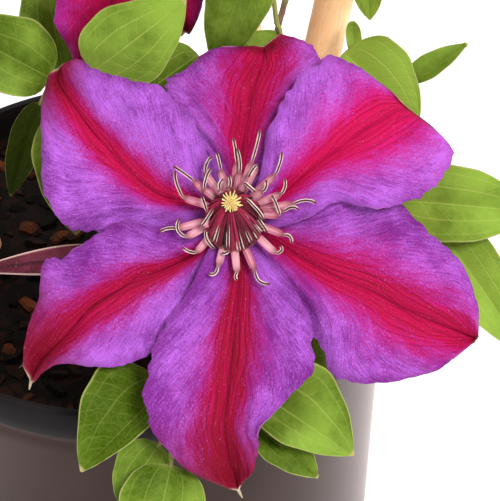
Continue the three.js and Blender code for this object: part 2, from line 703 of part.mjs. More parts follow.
/**
 * Each climbing stem: the points it passes, its side shoots, the leaves set on them by hand
 * (from node, base, tip, width), and the leaves set by rule, as [height, compass degrees].
 */
const VINES = {
  middle: {
    radius: STEM_RADIUS,
    stem: [
      at(9, 20, 112), at(9.5, 22, 150), at(12, 29, 190), at(3, 38.5, 235), at(-6, 38.5, 265),
      at(-11.5, 36.5, 290), at(-10, 31, 320), at(-2, 38.8, 365), at(7, 38, 395),
      at(12.5, 36, 412), at(10.5, 30, 440), at(2, 38.8, 485), at(-7, 38.5, 515),
      at(-12, 36.5, 532), at(-9, 40, 565),
    ],
    shoots: [
      [at(12, 29, 190), at(17, 14, 222), at(24, 4, 246)],
      [
        at(-10, 31, 320), at(-9, 19, 319), at(1, 14, 311),
        behindBloom(BLOOMS.upper, 2), behindBloom(BLOOMS.upper),
      ],
      [at(-7, 38.5, 515), at(6, 42, 528), at(14, 31, 538), at(14, 18, 543), stalkEnd(BUDS.top)],
    ],
    leaves: [
      { node: at(24, 4, 246), base: face(27, 66.5, 58), tip: face(6, 51, 58), width: 18 },
    ],
    climbing: [
      [205, 95], [335, 50], [385, 85], [440, -60], [440, 100], [495, 20],
      [560, -110], [560, 70],
    ],
  },
  left: {
    radius: 1.5,
    stem: [
      at(-9, 18, 112), at(-9.5, 20, 150), at(-11, 26, 190), at(-12.5, 28, 230), at(-23, 30, 262),
      at(-43, 32, 285), at(-61, 32, 300), at(-72, 31, 320), at(-76, 32, 342), at(-88.6, 39, 375),
      at(-101, 38.5, 395), at(-110, 36.5, 412), at(-112.5, 31, 440), at(-111, 39, 485),
      at(-108, 38.5, 515), at(-106, 36.5, 532), at(-114, 39, 565),
    ],
    shoots: [
      [at(-12.5, 28, 230), at(-17, 14, 238), at(-18, 0, 242)],
      [
        at(-88.6, 39, 375), at(-76, 33, 385), at(-65, 16, 394), at(-53, 0, 425),
        behindBloom(BLOOMS.left, 3), behindBloom(BLOOMS.left),
      ],
    ],
    leaves: [
      { node: at(-18, 0, 242), base: face(-20, 59, 58), tip: face(-51, 75, 60), width: 27 },
      { node: at(-17, 14, 238), base: face(-17, 62, 48), tip: face(-24, 100, 46), width: 22 },
      {
        node: at(-18, 0, 242), base: face(-6, 60, 70), tip: face(24, 81, 84), width: 27,
        fold: 0, arch: 0.05, facing: at(0, -0.94, 0.34),
      },
      { node: at(-18, 0, 242), base: face(-13, 49, 60), tip: face(-12, 9, 58), width: 25 },
      { node: at(-17, 14, 238), base: face(-27, 54, 22), tip: face(-38, 22.5, 16), width: 12 },
    ],
    climbing: [
      [330, -70], [330, 100], [440, 150], [500, -170], [560, -80], [560, 130],
    ],
  },
  right: {
    radius: 1.1,
    stem: [
      at(38, 20, 112), at(38.5, 20, 150), at(45, 24, 190), at(52.3, 27, 241), at(55.5, 27.5, 256),
      at(63, 28, 290), at(70, 31, 320), at(77, 37, 342), at(88, 40, 365), at(102, 38.5, 395),
      at(110, 36.5, 412), at(113, 30, 440), at(112, 39, 485), at(108, 38.5, 515),
      at(106, 36.5, 532), at(114, 39, 565),
    ],
    shoots: [
      [at(45, 24, 190), at(60, 40, 208), at(74, 39.5, 222), at(80, 28, 234), at(80, 16, 242)],
      [at(45, 24, 190), at(60, 8, 196), at(80, -10, 206), at(96, -24, 211)],
      [at(55.5, 27.5, 256), at(55, 17, 262), at(54, 6, 264), at(52, -3, 266)],
      [at(108, 38.5, 515), at(100, 31, 502), stalkEnd(BUDS.right)],
      [at(55.5, 27.5, 256), at(60, 36, 262), at(70, 42.5, 262)],
    ],
    leaves: [
      { node: at(80, 16, 242), base: face(74, 68, 50), tip: face(98, 44, 52), width: 27 },
      { node: at(80, 16, 242), base: face(77, 79, 42), tip: face(78.5, 63, 43), width: 5 },
      { node: at(80, 16, 242), base: face(95, 60, 44), tip: face(114, 71, 50), width: 8 },
      { node: at(70, 42.5, 262), base: face(82, 101, 27), tip: face(84, 81.5, 24), width: 12 },
      { node: at(96, -24, 211), base: face(97, 19, 52), tip: face(137, 16, 56), width: 24 },
      { node: at(96, -24, 211), base: face(104, 12, 50), tip: face(132, -29, 54), width: 21 },
      {
        node: at(52, -3, 266), base: face(47, 100, 94), tip: face(32.5, 63, 58), width: 21,
        fold: 0.12, arch: 0.05,
      },
      { node: at(52, -3, 266), base: face(54, 71, 64.5), tip: face(32, 66, 64.5), width: 8, fold: 0.1 },
    ],
    climbing: [
      [300, 80], [335, -100], [385, 40], [440, -45], [500, 20], [560, 60],
    ],
  },
  front: {
    radius: 1.6,
    stem: [
      at(20, -5, 112), at(20, -6, 150), at(22, -12, 175), at(28, -22, 196), at(35, -36, 212),
      behindBloom(BLOOMS.main),
    ],
    shoots: [
      [at(20, -6, 160), at(20, -40, 177), at(20, -66, 179), at(19, -88, 169)],
      [at(20, -8, 165), at(34, -40, 180), at(44, -66, 180)],
      [at(22, -12, 175), at(10, -30, 191), stalkEnd(BUDS.side)],
      [at(20, -40, 177), at(4, -47, 183), stalkEnd(BUDS.low)],
    ],
    leaves: [
      {
        node: at(20, -66, 179), base: face(17, -39, 63), tip: face(-9, -65, 74), width: 20,
        sides: [0.5, 1.9],
      },
      { node: at(19, -88, 169), base: face(15, -57, 68), tip: face(2, -76, 64), width: 18, fold: 0.1 },
      { node: at(19, -88, 169), base: face(19, -63, 72), tip: face(12, -95, 71), width: 27, fold: 0.1 },
      {
        node: at(44, -66, 180), base: face(46, -40.5, 65), tip: face(76, -60, 72), width: 24,
        fold: 0.2, sides: [1.5, 0.75],
      },
      {
        node: at(44, -66, 180), base: face(46, -52, 63), tip: face(65, -67.5, 68), width: 15,
        sides: [1.2, 0.8],
      },
      { node: at(44, -66, 180), base: face(60, -20, 50), tip: face(68, -35, 52), width: 12 },
    ],
    climbing: [],
  },
};

/** The point of a stem's curve at a height. */
function stemAt(points, height) {
  const curve = new THREE.CatmullRomCurve3(points);
  const samples = curve.getPoints(200);
  return samples.reduce((best, point) => (
    Math.abs(point.z - height) < Math.abs(best.z - height) ? point : best
  ));
}

/** A leaf held out from a climbing stem towards a compass angle, tip hanging. */
function climbingLeaf(node, degrees, draw) {
  const angle = THREE.MathUtils.degToRad(degrees);
  const out = at(Math.cos(angle), Math.sin(angle), 0);
  const base = node.clone().addScaledVector(out, 24 + 8 * draw()).add(at(0, 0, 8));
  const hang = 0.25 + 0.35 * draw();
  const length = 38 + 10 * draw();
  const tip = base.clone().addScaledVector(out, length * Math.cos(hang));
  tip.z -= length * Math.sin(hang);
  const facing = out.clone().multiplyScalar(0.5).add(at(0, 0, 0.85));
  return { node, base, tip, width: 0.6 * length, facing };
}

function vines() {
  Object.entries(VINES).forEach(([name, { radius, stem, shoots, leaves, climbing }], place) => {
    const draw = seeded(31 + place);
    const pieces = [tube(stem, radius, 6)];
    for (const shoot of shoots) {
      pieces.push(tube(shoot, 0.75 * radius, 6));
    }
    for (const spec of leaves) {
      pieces.push(leaf(spec));
    }
    for (const [height, degrees] of climbing) {
      pieces.push(leaf(climbingLeaf(stemAt(stem, height), degrees, draw)));
    }
    part(`vine_${name}`, fuse(pieces), FINISH.leaf);
  });
}

// ---- soil ---------------------------------------------------------------------------------
/** A round hole of a rod's own section, a gap wider, from below its foot to above the soil. */
function socket(start, direction, radius, sides) {
  const reach = (SOIL_TOP + 12 - start.z) / direction.z + GAP;
  const hole = new THREE.CylinderGeometry(radius + 0.4, radius + 0.4, reach, sides);
  hole.translate(0, reach / 2 - GAP, 0).rotateX(Math.PI / 2);
  const place = new THREE.Object3D();
  stand(place, start, direction);
  place.updateMatrix();
  return hole.applyMatrix4(place.matrix);
}

/** The potting mix: a plug that fills the pot, lumpy on top, with a hole for each stem. */
function soil() {
  const draw = seeded(7);
  const [sectors, rings] = [24, 4];
  const [low, high] = [FLOOR + GAP, SOIL_TOP];
  const inner = (z) => innerWall(z) - 2 * GAP;
  const bump = Array.from({ length: rings * sectors }, () => SOIL_RELIEF * (2 * draw() - 1));
  const outline = [[inner(0) - 2, low], [inner(low + 3), low + 3], [inner(high), high - 1]];
  const all = outline.length + rings;
  const plug = rounded(sectors, all, (turn, rise) => {
    const ring = Math.round(rise * all);
    const angle = 2 * Math.PI * turn;
    if (ring === 0 || ring === all) {
      return at(0, 0, ring === 0 ? low : high);
    }
    const onTop = ring > outline.length;
    const across = onTop ? (all - ring) / rings : 0;
    const sector = Math.round(turn * sectors);
    const lump = onTop ? bump[(ring - outline.length) * sectors + sector] : 0;
    const [radius, z] = onTop ? [inner(high) * across, high + lump] : outline[ring - 1];
    return at(radius * Math.cos(angle), radius * Math.sin(angle), z);
  });
  const sockets = Object.values(CANES).map((cane) => {
    const { start, direction } = canePlace(cane);
    return socket(start, direction, CANE_RADIUS, CANE_SIDES);
  });
  for (const { stem, radius } of Object.values(VINES)) {
    const direction = stem[1].clone().sub(stem[0]).normalize();
    sockets.push(socket(stem[0], direction, radius + 0.4, 8));
  }
  for (const hole of sockets) {
    hole.translate(...PLANT_PLACE.toArray());
  }
  part('soil', cut(plug, sockets), FINISH.soil, plant);
}

pot();
soil();
canes();
rungs();
ties();
blooms();
buds();
vines();

export default plant;
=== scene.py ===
"""A large-flowered clematis in a plastic pot, climbing a fan trellis: the looks of the part.

Metres, +Z up; the origin is the centre of the pot's underside and the front is -Y. Shapes are
worked out in millimetres and written to their meshes in metres. Each piece stands for a node of
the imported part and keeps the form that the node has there.
"""

import logging
import random
from dataclasses import dataclass, field
from enum import Enum
from math import acos, atan2, cos, exp, hypot, inf, pi, radians, sin, sqrt
from typing import Any, Callable, Iterable, Sequence, Union

import bpy
from mathutils import Matrix, Quaternion, Vector, noise


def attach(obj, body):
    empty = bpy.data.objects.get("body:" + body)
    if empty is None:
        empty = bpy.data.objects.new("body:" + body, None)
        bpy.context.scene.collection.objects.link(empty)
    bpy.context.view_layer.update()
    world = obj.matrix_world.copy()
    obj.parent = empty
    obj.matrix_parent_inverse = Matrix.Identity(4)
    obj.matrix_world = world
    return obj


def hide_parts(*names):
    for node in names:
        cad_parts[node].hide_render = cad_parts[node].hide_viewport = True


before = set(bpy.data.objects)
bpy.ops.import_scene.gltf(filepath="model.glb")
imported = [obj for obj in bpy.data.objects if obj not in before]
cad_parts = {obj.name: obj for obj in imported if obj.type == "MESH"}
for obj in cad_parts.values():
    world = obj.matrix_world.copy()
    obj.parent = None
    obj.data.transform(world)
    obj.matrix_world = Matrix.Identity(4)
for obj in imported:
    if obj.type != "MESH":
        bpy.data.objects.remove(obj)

logging.basicConfig(level=logging.INFO, format="%(message)s")
LOG = logging.getLogger("clematis")

MM = 0.001
TAU = 2 * pi

# ---- sizes that the part's pieces share, in millimetres ----
POT_HEIGHT = 165.0
SOIL_TOP = 150.0
SOIL_FOOT = 3.3
CANE_RADIUS = 6.5
CANE_ROOT = 110.0
CANE_TOP = 595.0
FAN_Y = 29.0
FAN_FOOT = 54.0
FAN_SLOPE = 0.167
FRONT_FOOT = Vector((69, -17, SOIL_TOP))
FRONT_LEAN = Vector((-36, 24.2, 140))
RUNG_RADIUS = 4.0
RUNG_Y = FAN_Y - CANE_RADIUS - RUNG_RADIUS - 0.3
RUNG_OVERHANG = 17.0
FACE_TILT = radians(40)
FACE_NORMAL = Vector((0, -cos(FACE_TILT), sin(FACE_TILT)))
PLANT_PLACE = Vector((-1, -16, 0))

UP = Vector((0, 0, 1))
RIGHT = Vector((1, 0, 0))
FORWARD = Vector((0, -1, 0))
BACKWARD = Vector((0, 1, 0))
SOFT_EDGE = 60.0
LOWER_LAYER = -2.6

Piece = bpy.types.Object
Pair = tuple[float, float]
Triple = tuple[float, float, float]
Colour = tuple[float, float, float, float]
Shape = Callable[[float, float], Vector]
Marks = dict[str, Union[float, Callable[[float, float], float]]]
Row = tuple[float, float, float, float, float, float]


class Finish(Enum):
    """The finishes: the name of each one's material, and the part's slot that it fills."""

    PLASTIC = ("pot_plastic", "pot")
    MIX = ("potting_mix", "soil")
    BAMBOO = ("bamboo", "cane")
    TWINE = ("jute_twine", "twine")
    GREEN = ("leaf_green", "leaf")
    BROWN = ("stem_brown", "leaf")
    SATIN = ("tepal_satin", "tepal")
    PINK = ("stamen_pink", "stamen")
    CREAM = ("style_cream", "style")
    MAROON = ("bud_maroon", "bud")
    FLOOR = ("floor_white", "")


def face(across: float, up: float, out: float) -> Vector:
    """Find a point of the plant's lit face by how far right, up and out it is from the rim."""
    sine, cosine = sin(FACE_TILT), cos(FACE_TILT)
    return Vector((across, up * sine - out * cosine, POT_HEIGHT + up * cosine + out * sine))


def smooth(low: float, high: float, x: float) -> float:
    """Ease from 0 at low to 1 at high."""
    share = min(max((x - low) / (high - low), 0.0), 1.0)
    return share * share * (3 - 2 * share)


def mix(a: float, b: float, share: float) -> float:
    """Go from a to b by a share."""
    return a + (b - a) * share


def bell(x: float, width: float) -> float:
    """Give a round hump that is 1 at 0 and fades beyond the width."""
    return exp(-((x / width) ** 2))


def round_at(radius: float, angle: float, height: float = 0.0) -> Vector:
    """Find the point at a radius, an angle and a height round the Z axis."""
    return Vector((radius * cos(angle), radius * sin(angle), height))


def hump(share: float) -> float:
    """Rise from 0 to 1 half way and fall back to 0."""
    return sin(pi * share)


def seeded(seed: int) -> Callable[[], float]:
    """Make the repeatable stream of draws from 0 to 1 that the part's leaves are placed by.

    Args:
        seed: The number that the stream starts from.

    Returns:
        A function that gives the next draw.
    """
    state, factor, step, span = seed, 1664525, 1013904223, 2**32

    def draw() -> float:
        """Give the next draw."""
        nonlocal state
        state = (state * factor + step) % span
        return state / span

    return draw


class Curve:
    """A smooth curve through points, evenly paced or paced by the distances between them."""

    def __init__(self, points: Sequence[Vector], even: bool = False) -> None:
        """Keep the points, with one more beyond each end, and whether the pace is even."""
        first = points[0] * 2 - points[1]
        last = points[-1] * 2 - points[-2]
        self.points = [first, *points, last]
        self.even = even

    def at(self, t: float) -> Vector:
        """Find the point at t, from 0 at the first point to 1 at the last."""
        spans = len(self.points) - 3
        place = min(max(t, 0.0), 1.0) * spans
        span = min(int(place), spans - 1)
        p0, p1, p2, p3 = self.points[span : span + 4]
        if self.even:
            start, end = (p2 - p0) * 0.5, (p3 - p1) * 0.5
        else:
            d1 = sqrt((p2 - p1).length) or 1.0
            d0 = sqrt((p1 - p0).length) or d1
            d2 = sqrt((p3 - p2).length) or d1
            start = ((p1 - p0) / d0 - (p2 - p0) / (d0 + d1) + (p2 - p1) / d1) * d1
            end = ((p2 - p1) / d1 - (p3 - p1) / (d1 + d2) + (p3 - p2) / d2) * d1
        w = place - span
        square, cube = w * w, w * w * w
        from_points = p1 * (2 * cube - 3 * square + 1) + start * (cube - 2 * square + w)
        return from_points + end * (cube - square) + p2 * (3 * square - 2 * cube)

    def tangent(self, t: float) -> Vector:
        """Find the direction of travel at t."""
        step = 0.0005
        return (self.at(t + step) - self.at(t - step)).normalized()


# ---- the bench: how meshes are made ----
def deselect() -> None:
    """Deselect everything, so that an operator acts only on the piece in hand."""
    bpy.ops.object.select_all(action="DESELECT")


def take(*pieces: Piece) -> Piece:
    """Select the pieces, and make the first of them active and give it."""
    deselect()
    for piece in pieces:
        piece.select_set(True)
    bpy.context.view_layer.objects.active = pieces[0]
    return pieces[0]


def named(piece: Piece, name: str) -> Piece:
    """Name a piece and its mesh, and give the piece."""
    piece.name = name
    piece.data.name = name
    return piece


def added(name: str) -> Piece:
    """Name the primitive that was just added, and give it."""
    return named(bpy.context.active_object, name)


def go_to(mode: str) -> None:
    """Go to edit mode or back to object mode."""
    bpy.ops.object.mode_set(mode=mode)


def modify(piece: Piece, kind: str, **settings: Any) -> None:
    """Add a modifier to a piece and apply it.

    Args:
        piece: The object that is changed.
        kind: The modifier's type, such as "SOLIDIFY".
        settings: The modifier's own properties.
    """
    take(piece)
    modifier = piece.modifiers.new(kind.lower(), kind)
    for key, value in settings.items():
        setattr(modifier, key, value)
    bpy.ops.object.modifier_apply(modifier=modifier.name)


def weld(piece: Piece, reach: float = 0.002, fill: bool = True) -> None:
    """Close a piece's seams and open ends, and turn its faces outward.

    Args:
        piece: The object that is closed.
        reach: How near, in millimetres, vertices are that become one.
        fill: True to cap the holes that stay open.
    """
    take(piece)
    go_to("EDIT")
    bpy.ops.mesh.select_all(action="SELECT")
    bpy.ops.mesh.remove_doubles(threshold=reach * MM)
    if fill:
        bpy.ops.mesh.fill_holes(sides=0)
    bpy.ops.mesh.select_all(action="SELECT")
    bpy.ops.mesh.normals_make_consistent(inside=False)
    go_to("OBJECT")


def shade(piece: Piece, degrees: float | None = None) -> Piece:
    """Shade a piece smooth, except at edges sharper than an angle, and give it."""
    take(piece)
    if degrees is None:
        bpy.ops.object.shade_smooth()
    else:
        bpy.ops.object.shade_smooth_by_angle(angle=radians(degrees))
    return piece


def join(name: str, pieces: Sequence[Piece]) -> Piece:
    """Join pieces in one mesh under a name, and give it."""
    whole = take(*pieces)
    if len(pieces) > 1:
        bpy.ops.object.join()
    return named(whole, name)


def mark(piece: Piece, name: str, values: Union[float, Iterable[float]]) -> None:
    """Write one number per vertex, or the same for all, which materials read by name."""
    mesh = piece.data
    if isinstance(values, float):
        values = [values] * len(mesh.vertices)
    layer = mesh.attributes.get(name) or mesh.attributes.new(name, "FLOAT", "POINT")
    layer.data.foreach_set("value", list(values))


def mould(piece: Piece, places: list[Pair], shape: Shape, marks: Marks | None) -> None:
    """Move each vertex of a piece to its place on a surface, and write its marks.

    Args:
        piece: The object that is shaped.
        places: Where each vertex lies on the surface, by two numbers.
        shape: Gives the point, in millimetres, at such a place.
        marks: What the vertices carry: numbers, or functions of the place.
    """
    for vertex, place in zip(piece.data.vertices, places):
        vertex.co = shape(*place) * MM
    for name, value in (marks or {}).items():
        numbers = (value(*place) for place in places) if callable(value) else value
        mark(piece, name, numbers)


def sheet(
    name: str, rows: int, columns: int, shape: Shape, marks: Marks | None = None
) -> Piece:
    """Add a grid and shape it as a surface.

    Args:
        name: Its name.
        rows: Faces along it.
        columns: Faces across it.
        shape: Gives a point at t from 0 to 1 along and v from -1 to 1 across.
        marks: What each vertex carries.

    Returns:
        The shaped object.
    """
    deselect()
    bpy.ops.mesh.primitive_grid_add(
        x_subdivisions=columns, y_subdivisions=rows, size=2, calc_uvs=True
    )
    piece = added(name)
    places = [((v.co.y + 1) / 2, v.co.x) for v in piece.data.vertices]
    mould(piece, places, shape, marks)
    return piece


def thin_blade(
    name: str, cells: tuple[int, int], shape: Shape, thickness: float, marks: Marks
) -> Piece:
    """Make a thin blade: a shaped grid with a wall, its underside marked with 1.

    Args:
        name: Its name.
        cells: Faces along and across it.
        shape: The surface, by t along and v across.
        thickness: The wall, in millimetres.
        marks: What each vertex carries.

    Returns:
        The blade.
    """
    piece = sheet(name, *cells, shape, marks)
    count = len(piece.data.vertices)
    middle = piece.data.vertices[count // 2]
    place, normal = middle.co.copy(), middle.normal.copy()
    modify(piece, "SOLIDIFY", thickness=thickness * MM, offset=0.0, use_even_offset=False)
    first_above = (piece.data.vertices[count // 2].co - place).dot(normal) > 0
    total = len(piece.data.vertices)
    mark(piece, "under", (float((i < count) != first_above) for i in range(total)))
    return piece


def tube(
    name: str, curve: Curve, radius: Callable[[float], float], steps: int, sides: int,
    closed: bool = False,
) -> Piece:
    """Make a round rod along a curve by rolling up a grid.

    Args:
        name: Its name.
        curve: The rod's centre line.
        radius: Its radius by t from 0 to 1 along it.
        steps: Lengths that the rod is divided in.
        sides: Faces round it.
        closed: True for a ring whose end meets its start.

    Returns:
        The rod, closed at both ends.
    """
    frames: list[tuple[Vector, Vector, Vector]] = []
    across = curve.tangent(0).orthogonal().normalized()
    for step in range(steps + 1):
        along = curve.tangent(step / steps)
        across = (across - along * across.dot(along)).normalized()
        frames.append((curve.at(step / steps), across.copy(), along.cross(across)))
    if closed:
        frames[-1] = frames[0]

    def shape(t: float, v: float) -> Vector:
        """Find a point of the rod's skin."""
        place, side, lift = frames[round(t * steps)]
        angle = pi * (v + 1)
        return place + (side * cos(angle) + lift * sin(angle)) * radius(t)

    piece = sheet(name, steps, sides, shape)
    weld(piece)
    return shade(piece, SOFT_EDGE)


def ball(
    name: str, sectors: int, rings: int, shape: Shape, marks: Marks | None = None
) -> Piece:
    """Add a sphere and shape it as a closed body between two poles.

    Args:
        name: Its name.
        sectors: Faces round it.
        rings: Faces from pole to pole.
        shape: Gives a point by turn and rise, both from 0 to 1.
        marks: What each vertex carries.

    Returns:
        The shaped object.
    """
    deselect()
    bpy.ops.mesh.primitive_uv_sphere_add(segments=sectors, ring_count=rings, radius=1)
    piece = added(name)
    places = []
    for vertex in piece.data.vertices:
        x, y, z = vertex.co
        turn = round(atan2(y, x) / TAU * sectors) % sectors / sectors
        rise = round((1 - acos(min(max(z, -1), 1)) / pi) * rings) / rings
        places.append((turn, rise))
    mould(piece, places, shape, marks)
    weld(piece, reach=0.0005, fill=False)
    return shade(piece)


def lathe(name: str, profile: Sequence[Pair], sides: int) -> Piece:
    """Turn a closed body on the Z axis: a ring that is extruded and resized point by point.

    Args:
        name: Its name.
        profile: Radius and height of each ring, from one pole to the other.
        sides: Faces round it.

    Returns:
        The turned object, closed at both ends.
    """
    deselect()
    radius, height = profile[0]
    bpy.ops.mesh.primitive_circle_add(
        vertices=sides, radius=radius * MM, location=(0, 0, height * MM), fill_type="NGON"
    )
    piece = added(name)
    bpy.ops.object.transform_apply(location=True, rotation=False, scale=False)
    go_to("EDIT")
    bpy.ops.mesh.select_mode(type="EDGE")
    for next_radius, next_height in profile[1:]:
        bpy.ops.mesh.extrude_edges_move(
            TRANSFORM_OT_translate={"value": (0, 0, (next_height - height) * MM)}
        )
        share = next_radius / radius
        bpy.ops.transform.resize(value=(share, share, 1))
        radius, height = next_radius, next_height
    bpy.ops.mesh.edge_face_add()
    bpy.ops.mesh.select_mode(type="VERT")
    go_to("OBJECT")
    weld(piece, reach=0.0002)
    return piece


def put(piece: Piece, matrix: Matrix) -> None:
    """Move a piece's mesh by a matrix whose lengths are in millimetres."""
    scaled = matrix.copy()
    scaled.translation = matrix.translation * MM
    piece.data.transform(scaled)


def hand_over(piece: Piece, finish: Finish, node: str) -> None:
    """Dress a finished piece and put it on the frame.

    Args:
        piece: The finished object.
        finish: What it is dressed with.
        node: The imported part's node that it stands for.
    """
    material, slot = finish.value
    piece.data.materials.clear()
    piece.data.materials.append(bpy.data.materials[material])
    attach(piece, "root")
    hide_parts(node)
    LOG.info("%s: %d faces", piece.name, len(piece.data.polygons))


def turn_to(direction: Vector) -> Matrix:
    """Make the turn that points a piece's own Z along a direction."""
    return UP.rotation_difference(direction).to_matrix().to_4x4()


# ---- the palette: how finishes are made ----
def srgb(red: float, green: float, blue: float) -> Colour:
    """Turn a colour as a screen shows it, from 0 to 255, into the linear one that light has."""

    def linear(value: float) -> float:
        """Turn one channel."""
        share = value / 255
        return share / 12.92 if share <= 0.04045 else ((share + 0.055) / 1.055) ** 2.4

    return (linear(red), linear(green), linear(blue), 1.0)


def operator(operation: str, reflected: bool = False) -> Callable[["Wire", "Value"], "Wire"]:
    """Make the method behind an operator of a wire.

    Args:
        operation: The Math node's operation.
        reflected: True where the other value comes first.

    Returns:
        The method.
    """

    def combine(wire: "Wire", other: "Value") -> "Wire":
        """Add the Math node."""
        pair = (other, wire) if reflected else (wire, other)
        return wire.recipe.maths(operation, *pair)

    return combine


class Wire:
    """A shader socket that takes part in sums."""

    def __init__(self, recipe: "Recipe", socket: bpy.types.NodeSocket) -> None:
        """Keep the socket and the recipe that its node is in."""
        self.recipe = recipe
        self.socket = socket

    __add__ = operator("ADD")
    __radd__ = operator("ADD", reflected=True)
    __sub__ = operator("SUBTRACT")
    __rsub__ = operator("SUBTRACT", reflected=True)
    __mul__ = operator("MULTIPLY")
    __rmul__ = operator("MULTIPLY", reflected=True)

    def __abs__(self) -> "Wire":
        """Drop the sign."""
        return self.recipe.maths("ABSOLUTE", self)

    def fraction(self) -> "Wire":
        """Keep what is behind the point."""
        return self.recipe.maths("FRACT", self)

    def power(self, exponent: float) -> "Wire":
        """Raise to a power."""
        return self.recipe.maths("POWER", self, exponent)

    def eased(self, low: float, high: float, start: float = 0.0, end: float = 1.0) -> "Wire":
        """Ease from start to end while the value goes from low to high.

        Args:
            low: The value where the change begins.
            high: The value where it ends.
            start: What comes out below low.
            end: What comes out above high.

        Returns:
            The eased value.
        """
        return self.recipe.node(
            "ShaderNodeMapRange",
            {"interpolation_type": "SMOOTHSTEP"},
            {"Value": self, "From Min": low, "From Max": high, "To Min": start, "To Max": end},
        )


Value = Union[Wire, float, int]


class Recipe:
    """A material in the making: its shader and the nodes that feed it."""

    def __init__(
        self, finish: Finish, ground: Colour, roughness: float, specular: float, **others: Any
    ) -> None:
        """Start a material.

        Args:
            finish: The finish that it is for.
            ground: The colour that its coats are laid over.
            roughness: How dull it is.
            specular: How much it mirrors.
            others: Values of the shader's other sockets, with _ for a space in a name.
        """
        self.material = bpy.data.materials.new(finish.value[0])
        self.material.use_nodes = True
        self.tree = self.material.node_tree
        self.shader = self.tree.nodes["Principled BSDF"]
        self.colour: Union[Wire, Colour] = ground
        constants = {"Roughness": roughness, "Specular_IOR_Level": specular, **others}
        for key, value in constants.items():
            self.shader.inputs[key.replace("_", " ")].default_value = value

    @staticmethod
    def _socket(sockets: Any, key: str) -> bpy.types.NodeSocket:
        """Find a socket by its identifier, or else by its name."""
        for socket in sockets:
            if socket.identifier == key:
                return socket
        return sockets[key]

    def node(
        self, kind: str, settings: dict[str, Any] | None = None,
        inputs: dict[str, Any] | None = None, output: str | None = None,
    ) -> Wire:
        """Add a node.

        Args:
            kind: The node's type.
            settings: Its own properties.
            inputs: Values or links of its sockets, by identifier or name.
            output: The socket that is wanted, or None for the first.

        Returns:
            The output socket.
        """
        made = self.tree.nodes.new(kind)
        for key, value in (settings or {}).items():
            setattr(made, key, value)
        for key, value in (inputs or {}).items():
            socket = self._socket(made.inputs, key)
            if isinstance(value, Wire):
                self.tree.links.new(value.socket, socket)
            else:
                socket.default_value = value
        wanted = self._socket(made.outputs, output) if output else made.outputs[0]
        return Wire(self, wanted)

    def maths(self, operation: str, *values: Value) -> Wire:
        """Add a Math node for an operation on values."""
        inputs = {("Value" if i == 0 else f"Value_{i:03d}"): v for i, v in enumerate(values)}
        return self.node("ShaderNodeMath", {"operation": operation}, inputs)

    def blend(self, share: Value, first: Any, second: Any) -> Wire:
        """Mix two colours, or links to them, by a share of the second."""
        return self.node(
            "ShaderNodeMix", {"data_type": "RGBA"},
            {"Factor_Float": share, "A_Color": first, "B_Color": second}, "Result_Color",
        )

    def coat(self, share: Value, colour: Any) -> None:
        """Lay a colour over the base colour by a share, and feed the shader with it."""
        self.colour = self.blend(share, self.colour, colour)
        self.feed("Base Color", self.colour)

    def mark(self, name: str) -> Wire:
        """Read a number that the mesh carries."""
        return self.node("ShaderNodeAttribute", {"attribute_name": name}, output="Fac")

    def place(self) -> Wire:
        """Read the place on the object, in metres."""
        return self.node("ShaderNodeTexCoord", output="Object")

    def across_along(self) -> tuple[Wire, Wire]:
        """Read the piece's own map as v, from -1 to 1 across, and t, from 0 to 1 along."""
        chart = self.node("ShaderNodeUVMap", {"uv_map": "UVMap"})
        split = self.node("ShaderNodeSeparateXYZ", inputs={"Vector": chart}, output="X")
        along = Wire(self, split.socket.node.outputs["Y"])
        return split * 2 - 1, along

    def spot(self, x: Value, y: Value, z: Value = 0.0) -> Wire:
        """Make a place from three values."""
        return self.node("ShaderNodeCombineXYZ", inputs={"X": x, "Y": y, "Z": z})

    def grain(self, place: Wire, scale: float, detail: float, rough: float) -> Wire:
        """Add cloudy noise from 0 to 1 at a place, with finer layers of some roughness."""
        return self.node(
            "ShaderNodeTexNoise",
            inputs={"Vector": place, "Scale": scale, "Detail": detail, "Roughness": rough},
            output="Fac",
        )

    def stretched(self, place: Wire, x: float, y: float, z: float) -> Wire:
        """Scale a place differently along each axis."""
        return self.node("ShaderNodeMapping", inputs={"Vector": place, "Scale": (x, y, z)})

    def feed(self, socket: str, value: Wire) -> None:
        """Link a value or colour to one of the shader's sockets."""
        self.tree.links.new(value.socket, self.shader.inputs[socket])

    def relief(self, height: Wire, depth: float, strength: float = 1.0) -> None:
        """Feed the shader's normal with a bump.

        Args:
            height: The relief, from 0 to 1.
            depth: How far a height of 1 stands out, in millimetres.
            strength: How much of it shows.
        """
        bump = self.node(
            "ShaderNodeBump",
            inputs={"Height": height, "Distance": depth * MM, "Strength": strength},
        )
        self.feed("Normal", bump)

    def sheen_over(self, share: Wire, tint: Colour, roughness: float) -> None:
        """Lay a gloss over the shader.

        Args:
            share: How much of the gloss shows.
            tint: Its colour.
            roughness: How soft it is.
        """
        gloss = self.node(
            "ShaderNodeBsdfAnisotropic", inputs={"Color": tint, "Roughness": roughness}
        )
        body = Wire(self, self.shader.outputs[0])
        made = self.node(
            "ShaderNodeMixShader", inputs={"Fac": share, "Shader": body, "Shader_001": gloss}
        )
        output = self.tree.nodes["Material Output"]
        self.tree.links.new(made.socket, output.inputs["Surface"])


